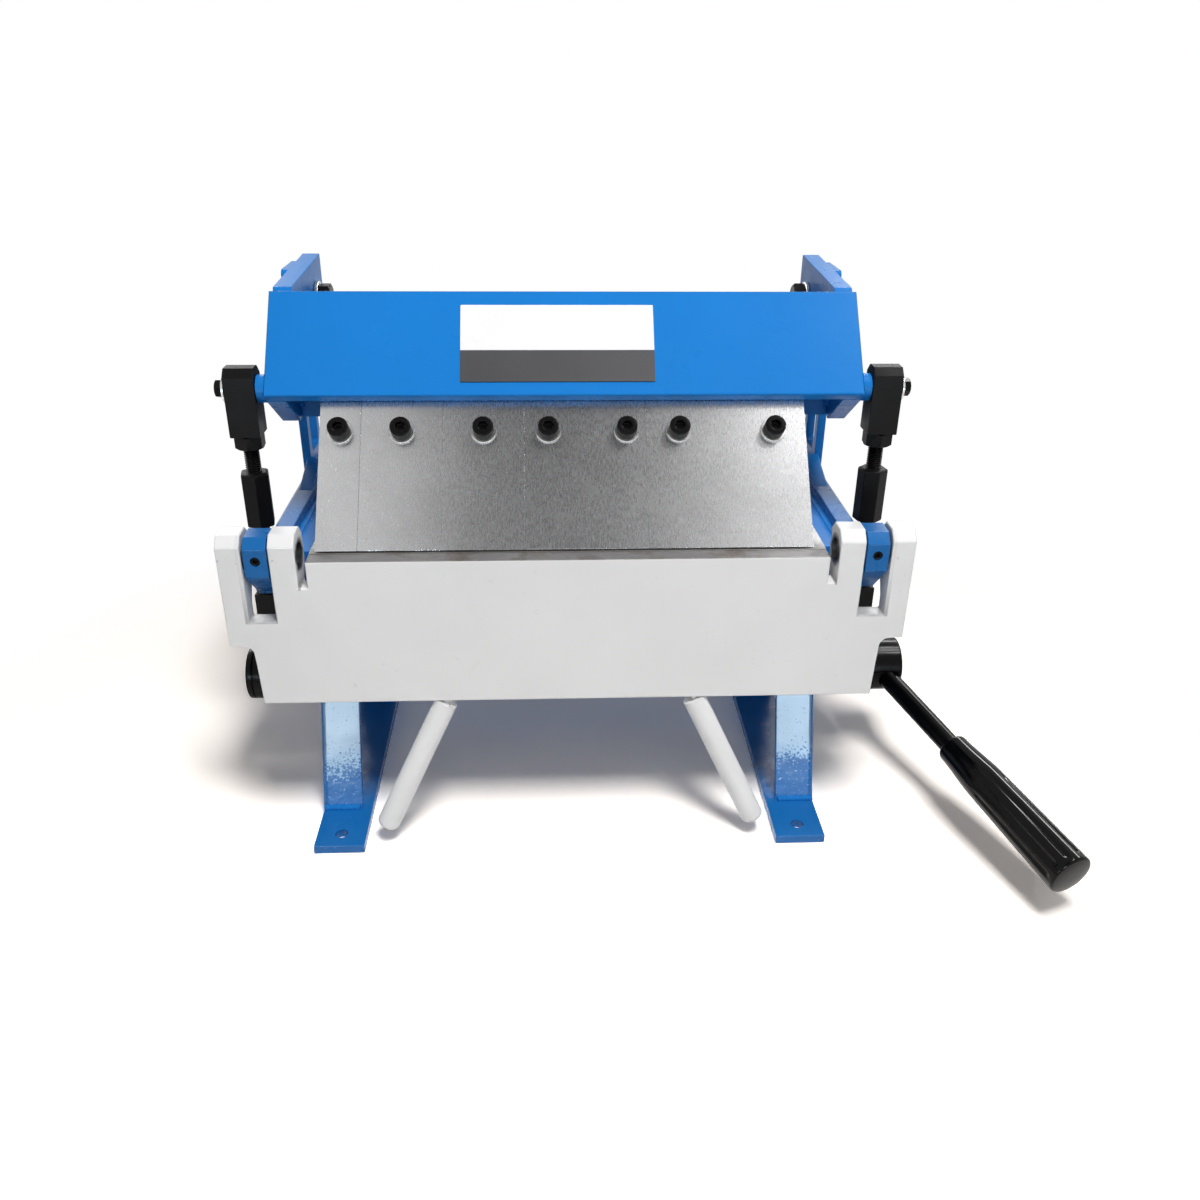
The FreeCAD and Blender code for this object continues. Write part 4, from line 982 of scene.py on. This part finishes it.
class FOLDER_OT_label(PiecesOperator, bpy.types.Operator):
    """Bare two-tone plate on the apron"""
    bl_idname = "folder.label"
    bl_label = "Label Plate"

    def build(self, sizes):
        rounded_piece("label_plate", "label", "label_white", 0.00015)


class FOLDER_OT_fingers(PiecesOperator, bpy.types.Operator):
    """Five ground steel fingers of different widths"""
    bl_idname = "folder.fingers"
    bl_label = "Fingers"

    def build(self, sizes):
        for number in range(1, 6):
            rounded_piece("finger_%d" % number, "finger", "finger_steel", sizes.finger_edge)


class FOLDER_OT_finger_screws(PiecesOperator, bpy.types.Operator):
    """Socket head screws and washers of the fingers"""
    bl_idname = "folder.finger_screws"
    bl_label = "Finger Screws"

    def build(self, sizes):
        def spots(out):
            return [slope_spot(across, FINGER_SCREW_RISE, out) for across in FINGER_SCREW_X]

        fitted("finger_cap_screws", "finger_screws",
               cap_screw(sizes.screw_head, high=0.008, key=0.006, shank=0.008, length=0.029),
               spots(FINGER_WASHER_THICK), SLOPE_OUT, "screw_black",
               seed=7, sharp=32)
        fitted("finger_screw_washers", "finger_washers",
               washer(outer=0.016, bore=0.0086, thick=FINGER_WASHER_THICK),
               spots(0.0), SLOPE_OUT, "zinc", seed=2)


class FOLDER_OT_plate_bolts(PiecesOperator, bpy.types.Operator):
    """Hexagon bolts of the bed bar, the finger bar and the beam's pivots"""
    bl_idname = "folder.plate_bolts"
    bl_label = "Bolts"

    def build(self, sizes):
        fitted("bed_hex_bolts", "bed_bolts",
               hex_bolt(flats=0.013, high=0.0053, shank=0.008, length=0.022),
               [(across, BED_BOLT_Y, BED_BOLT_Z) for across in PLATE_BOLT_X], (0.0, 0.0, -1.0),
               "screw_black", seed=5)
        fitted("bar_hex_bolts", "bar_bolts",
               hex_bolt(flats=0.013, high=0.0053, shank=0.008, length=0.024),
               [(across, BAR_BOLT_Y, BAR_BOLT_Z) for across in PLATE_BOLT_X], (0.0, 1.0, 0.0),
               "screw_black", seed=6)
        pivots = both_sides(PIVOT_X, PIVOT_Y, PIVOT_Z)
        fitted("pivot_hex_bolts", "beam_pivot_bolts",
               hex_bolt(flats=0.019, high=0.008, shank=0.012, length=0.0213),
               pivots, inward, "screw_black", seed=9)
        fitted("pivot_bolt_washers", "beam_pivot_washers",
               washer(outer=0.024, bore=0.0125, thick=0.0025), pivots, outward, "zinc")


class FOLDER_OT_tie_rods(PiecesOperator, bpy.types.Operator):
    """Blocks, nuts, threaded studs, long couplings and eyes of both tie rods"""
    bl_idname = "folder.tie_rods"
    bl_label = "Tie Rods"

    def build(self, sizes):
        rounded_piece("tie_pivots", "blue", "base_blue", 0.0002, shortest=0.0)
        fitted("tie_pivot_washers", "tie_washers",
               washer(outer=0.017, bore=0.0064, thick=0.0016),
               both_sides(TIE_WASHER_X, TIE_Y, TIE_TOP_Z), outward, "zinc")
        fitted("tie_pivot_bolts", "tie_screws",
               hex_bolt(flats=0.010, high=0.005, shank=0.006, length=0.0136, washer_face=0.0003),
               both_sides(TIE_SCREW_X, TIE_Y, TIE_TOP_Z), outward,
               "screw_black", seed=3)
        for side, sign in zip(SIDES, SIGNS):
            rounded_piece("tie_block_" + side, "black", "black_oxide", 0.0006)
            rounded_piece("tie_coupling_" + side, "black", "black_oxide", 0.0005)
            rounded_piece("tie_eye_" + side, "black", "black_oxide", 0.0004)
            fitted("tie_lock_nuts_" + side, "tie_nuts_" + side,
                   hex_nut(flats=0.017, high=0.009, bore=0.0098),
                   [(sign * TIE_X, TIE_Y, height) for height in LOCK_NUTS_Z], (0.0, 0.0, 1.0),
                   "black")
            studs = []
            for low, high in STUD_ENDS_Z:
                stud = grown(thread_tree(), bpy.data.meshes.new("bar"), {
                    "Length": high - low, "Radius": STUD_RADIUS, "Pitch": sizes.thread_pitch,
                    "Depth": sizes.thread_depth, "Sides": 30, "Rows Each Turn": 6.0,
                    "Finish": finish("black")})
                stud.transform(Matrix.Translation((sign * TIE_X, TIE_Y, low)))
                studs.append(stud)
            node = "tie_studs_" + side
            piece("tie_threads_" + side, joined(studs), body_of(node), "screw_black",
                  (node,), sharp=60)


class FOLDER_OT_clamp(PiecesOperator, bpy.types.Operator):
    """Clamp shaft with its disc, hub and bushes"""
    bl_idname = "folder.clamp"
    bl_label = "Clamp Shaft"

    def build(self, sizes):
        for node, paint, slot, width in (
                ("shaft_bushes", "bronze", "bronze", 0.0002),
                ("clamp_shaft", "black", "black_oxide", 0.0003),
                ("end_disc", "rod", "black_oxide", 0.0005),
                ("lever_hub", "rod", "black_oxide", 0.0005)):
            rounded_piece(node, paint, slot, width, shortest=0.0)


class FOLDER_OT_lever(PiecesOperator, bpy.types.Operator):
    """Lever rod and fluted grip"""
    bl_idname = "folder.lever"
    bl_label = "Lever"

    start, end = 0.093, 0.2087
    swell = 0.038
    flute_start, flute_end = start + 0.034, end - 0.0042
    rim, rim_edge = 0.0145, 0.0017

    @staticmethod
    def ease(value):
        value = max(0.0, min(1.0, value))
        return value * value * (3 - 2 * value)

    def outline(self, station, flutes):
        """Radius over the angle at a distance from the shaft's axis."""
        near_swell = self.ease((station - self.start) / self.swell)
        past_swell = max(0.0, (station - self.start - self.swell)
                         / (self.end - self.start - self.swell))
        radius = 0.0104 + 0.0025 * near_swell + 0.0016 * past_swell
        depth = (0.0006 + 0.001 * past_swell) * self.ease(
            (station - self.flute_start) / 0.014) * self.ease((self.flute_end - station) / 0.0025)

        def reach(angle):
            groove = max(0.0, (math.cos(angle * flutes) - 0.05) / 0.95) ** 1.2
            return radius - depth * groove
        return reach

    def grip_rings(self, flutes):
        """From the collar over the fluted body and the rounded rim to the middle of the end."""
        start, end, rim, edge = self.start, self.end, self.rim, self.rim_edge
        rings = [(start + 0.0001, 0.0071), (start, 0.0092), (start + 0.0003, 0.0098),
                 (start + 0.001, 0.01025)]
        first, last, steps = start + 0.002, end - edge, 60
        for step in range(steps + 1):
            station = first + (last - first) * step / steps
            rings.append((station, self.outline(station, flutes)))
        for step in range(1, 7):
            turn = step / 6 * math.pi / 2
            rings.append((last + edge * math.sin(turn), rim - edge * (1 - math.cos(turn))))
        return rings + [(end + 0.0008 * (1 - share * share), rim * share)
                        for share in (0.72, 0.55, 0.36, 0.16)]

    def build(self, sizes):
        level = math.cos(LEVER_DOWN)
        lean = (math.sin(LEVER_ASIDE) * level, -math.cos(LEVER_ASIDE) * level,
                -math.sin(LEVER_DOWN))
        place = facing((LEVER_X, CLAMP_Y, CLAMP_Z), lean)
        rod = solid_of_rings([
            (0.0115, 0.007), (0.0922, 0.00695), (0.094, 0.0055), (0.142, 0.0055),
            (0.1425, 0.005)], sides=64, place=place)
        piece("lever_rod_bar", rod, "clamp", "rod", ("lever_rod",), sharp=50)
        grip = solid_of_rings(self.grip_rings(sizes.flutes), sides=120, place=place)
        piece("lever_fluted_grip", grip, "clamp", "grip", ("lever_grip",), sharp=60)


class FOLDER_OT_welds(PiecesOperator, bpy.types.Operator):
    """Weld beads of the base and the beam"""
    bl_idname = "folder.welds"
    bl_label = "Weld Beads"

    base_seams = (
        ((0.1885, 0.071, 0.193), (0.1885, 0.107, 0.193)),
        ((0.1795, -0.055, 0.1725), (0.1795, 0.099, 0.1725)),
        ((0.1795, -0.04, 0.1835), (0.1795, 0.099, 0.1835)),
        ((0.1445, -0.0925, 0.0065), (0.169, -0.0925, 0.0065)),
        ((0.1445, 0.0925, 0.0065), (0.169, 0.0925, 0.0065)),
        ((0.1785, -0.037, 0.1715), (0.1785, 0.0, 0.1715)))
    beam_seams = (
        ((0.175, 0.0122, 0.258), (0.175, 0.0122, 0.33)),
        ((0.175, 0.0018, 0.262), (0.175, 0.0018, 0.3)),
        (slope_spot(0.175, 0.1, 0.0008), slope_spot(0.175, 0.13, 0.0008)))

    def build(self, sizes):
        base = weld_beads(self.base_seams, "blue", 3)
        piece("base_weld_beads", base, "frame", "blue", sharp=80)
        beam = weld_beads(self.beam_seams, "blue", 8)
        piece("beam_weld_beads", beam, "beam", "blue", sharp=80)


class FOLDER_OT_stage(bpy.types.Operator):
    """Pale floor, soft lights and the camera"""
    bl_idname = "folder.stage"
    bl_label = "Studio"

    def execute(self, context):
        self.floor(context.scene.folder_colours)
        self.flag()
        self.lights()
        self.world(context.scene)
        self.camera(context.scene)
        context.scene.view_settings.view_transform = "Standard"
        return {"FINISHED"}

    @staticmethod
    def seen(wires):
        """1 for the rays that show the background: camera, mirror and clear rays."""
        path = wires.add("ShaderNodeLightPath").outputs
        return wires.larger(wires.larger(path["Is Camera Ray"], path["Is Glossy Ray"]),
                            path["Is Transmission Ray"])

    @staticmethod
    def card(name, across, deep, height, face):
        """A flat rectangle; face: the order of its corners, which turns it up or down."""
        mesh = bpy.data.meshes.new(name)
        mesh.from_pydata([(across[0], deep[0], height), (across[1], deep[0], height),
                          (across[1], deep[1], height), (across[0], deep[1], height)], [], [face])
        return link(name, mesh)

    def floor(self, colours):
        """Pale floor with the shadow, fading into the white background."""
        reach, level = 30.0, -0.0002
        fade_start, fade_end = 0.34, 0.5
        floor = self.card("studio_floor", (-reach, reach), (-reach, reach), level, (0, 1, 2, 3))
        wires, material = empty_material("studio_floor")
        place = wires.object_place()
        seen = self.seen(wires)
        grain = wires.spread(wires.noise(place, 6.0, 2.0), 0.995, 1.005)
        tint = wires.mix(seen, opaque(colours.floor), (1.66, 1.55, 1.45, 1.0))
        matt = wires.add("ShaderNodeBsdfDiffuse", {"Color": wires.shade(tint, grain)})
        glow = wires.add("ShaderNodeEmission", {"Color": (1.0, 1.0, 1.0, 1.0), "Strength": 1.0})
        distance = wires.add("ShaderNodeVectorMath", {0: place}, operation="LENGTH")
        far = wires.times(wires.ramp(distance.outputs["Value"], fade_start, fade_end), seen)
        mixed = wires.add("ShaderNodeMixShader", {0: far, 1: matt.outputs[0], 2: glow.outputs[0]})
        wires.add("ShaderNodeOutputMaterial", {"Surface": mixed.outputs[0]})
        floor.data.materials.append(material)

    def flag(self):
        """A dark card that only mirrors see, so the ground faces get their dark middle."""
        flag = self.card("studio_flag", (-0.25, 0.28), (-1.3, -0.15), 1.3, (0, 3, 2, 1))
        wires, shader, material = new_finish("studio_flag", Roughness=1.0)
        cloth = wires.spread(wires.noise(wires.object_place(), 40.0), 0.07, 0.10)
        wires.fill(shader.inputs, Base_Color=wires.shade((1.0, 1.0, 1.0), cloth))
        flag.data.materials.append(material)
        flag.visible_camera = flag.visible_diffuse = False
        flag.visible_shadow = flag.visible_transmission = False

    @staticmethod
    def lamp(name, spot, target, size, power):
        data = bpy.data.lights.new(name, "AREA")
        data.shape = "RECTANGLE"
        data.size, data.size_y = size
        data.energy = power
        lamp = bpy.data.objects.new(name, data)
        spot, target = Vector(spot), Vector(target)
        aim = (target - spot).to_track_quat("-Z", "Y").to_matrix().to_4x4()
        lamp.matrix_world = Matrix.Translation(spot) @ aim
        bpy.context.scene.collection.objects.link(lamp)
        return lamp

    def strip(self, *how):
        """A lamp for highlights only: it lights no matt surface."""
        lamp = self.lamp(*how)
        lamp.visible_diffuse = False
        return lamp

    def lights(self):
        middle = (0.0, -0.05, 0.18)
        key = self.lamp("key_box", (0.16, -0.62, 1.4), middle, (0.34, 0.46), 16.8)
        key.visible_glossy = False
        self.lamp("left_box", (-1.5, -0.9, 0.9), middle, (0.8, 1.2), 1.0)
        self.lamp("right_box", (1.5, -0.9, 0.9), middle, (0.8, 1.2), 1.2)
        for side, sign in zip(SIDES, SIGNS):
            self.strip("rim_strip_" + side, (sign * 0.95, 0.9, 1.0), (sign * 0.2, -0.1, 0.1),
                       (1.1, 0.12), 14.0)
            low = self.strip("leg_strip_" + side, (sign * 0.365, -1.0, 0.22),
                             (sign * 0.1586, -0.07, 0.06), (0.16, 0.14), 2.6)
            low.data.color = (0.75, 0.9, 1.0)
        for number, depth in enumerate((-0.38, -0.08, 0.22)):
            self.strip("top_strip_%d" % number, (0.66, depth, 1.41), (0.22, -0.02, 0.08),
                       (0.14, 0.13), 3.4)

    def world(self, scene):
        """Dim for what it lights, white for what sees it."""
        world = bpy.data.worlds.new("studio")
        world.use_nodes = True
        world.node_tree.nodes.clear()
        wires = Wires(world.node_tree)
        strength = wires.ramp(self.seen(wires), 0.0, 1.0, 0.17, 1.0)
        back = wires.add("ShaderNodeBackground", {
            "Color": (1.0, 1.0, 1.0, 1.0), "Strength": strength})
        wires.add("ShaderNodeOutputWorld", {"Surface": back.outputs[0]})
        scene.world = world

    def camera(self, scene):
        """The photograph's own view, from its focal length in pixels of a 1200 pixel frame."""
        spot = (-0.012, -0.6962, 0.4666)
        dip, turn, roll = math.radians(26.6), math.radians(2.92), math.radians(0.63)
        sensor, focal, frame_width = 36.0, 1073.0, 1200.0
        data = bpy.data.cameras.new("camera")
        data.sensor_width = sensor
        data.lens = sensor * focal / frame_width
        data.clip_end = 100.0
        camera = bpy.data.objects.new("camera", data)
        ahead = Vector((math.sin(turn) * math.cos(dip), math.cos(turn) * math.cos(dip),
                        -math.sin(dip)))
        right = Vector((math.cos(turn), -math.sin(turn), 0.0))
        up = right.cross(ahead)
        across = right * math.cos(roll) + up * math.sin(roll)
        above = up * math.cos(roll) - right * math.sin(roll)
        camera.matrix_world = Matrix.Translation(spot) @ Matrix(
            (across, above, -ahead)).transposed().to_4x4()
        scene.collection.objects.link(camera)
        scene.camera = camera


class FOLDER_PT_pieces(bpy.types.Panel):
    """Sizes, colours and pieces of the folder"""
    bl_idname = "FOLDER_PT_pieces"
    bl_label = "Sheet Metal Folder"
    bl_space_type = "VIEW_3D"
    bl_region_type = "UI"
    bl_category = "Folder"

    def draw(self, context):
        layout = self.layout
        for group in (context.scene.folder_sizes, context.scene.folder_colours):
            box = layout.box()
            for key in group.__annotations__:
                box.prop(group, key)
        for operator in OPERATORS:
            layout.operator(operator.bl_idname)


OPERATORS = (
    FOLDER_OT_base, FOLDER_OT_bed, FOLDER_OT_leaf, FOLDER_OT_hinge, FOLDER_OT_beam,
    FOLDER_OT_label, FOLDER_OT_fingers, FOLDER_OT_finger_screws, FOLDER_OT_plate_bolts,
    FOLDER_OT_tie_rods, FOLDER_OT_clamp, FOLDER_OT_lever, FOLDER_OT_welds, FOLDER_OT_stage)
CLASSES = (FolderSizes, FolderColours) + OPERATORS + (FOLDER_PT_pieces,)


def register():
    for kind in CLASSES:
        bpy.utils.register_class(kind)
    bpy.types.Scene.folder_sizes = bpy.props.PointerProperty(type=FolderSizes)
    bpy.types.Scene.folder_colours = bpy.props.PointerProperty(type=FolderColours)


def unregister():
    del bpy.types.Scene.folder_colours
    del bpy.types.Scene.folder_sizes
    for kind in reversed(CLASSES):
        bpy.utils.unregister_class(kind)


def main():
    register()
    for operator in OPERATORS:
        group, name = operator.bl_idname.split(".")
        getattr(getattr(bpy.ops, group), name)()


if __name__ == "__main__":
    main()
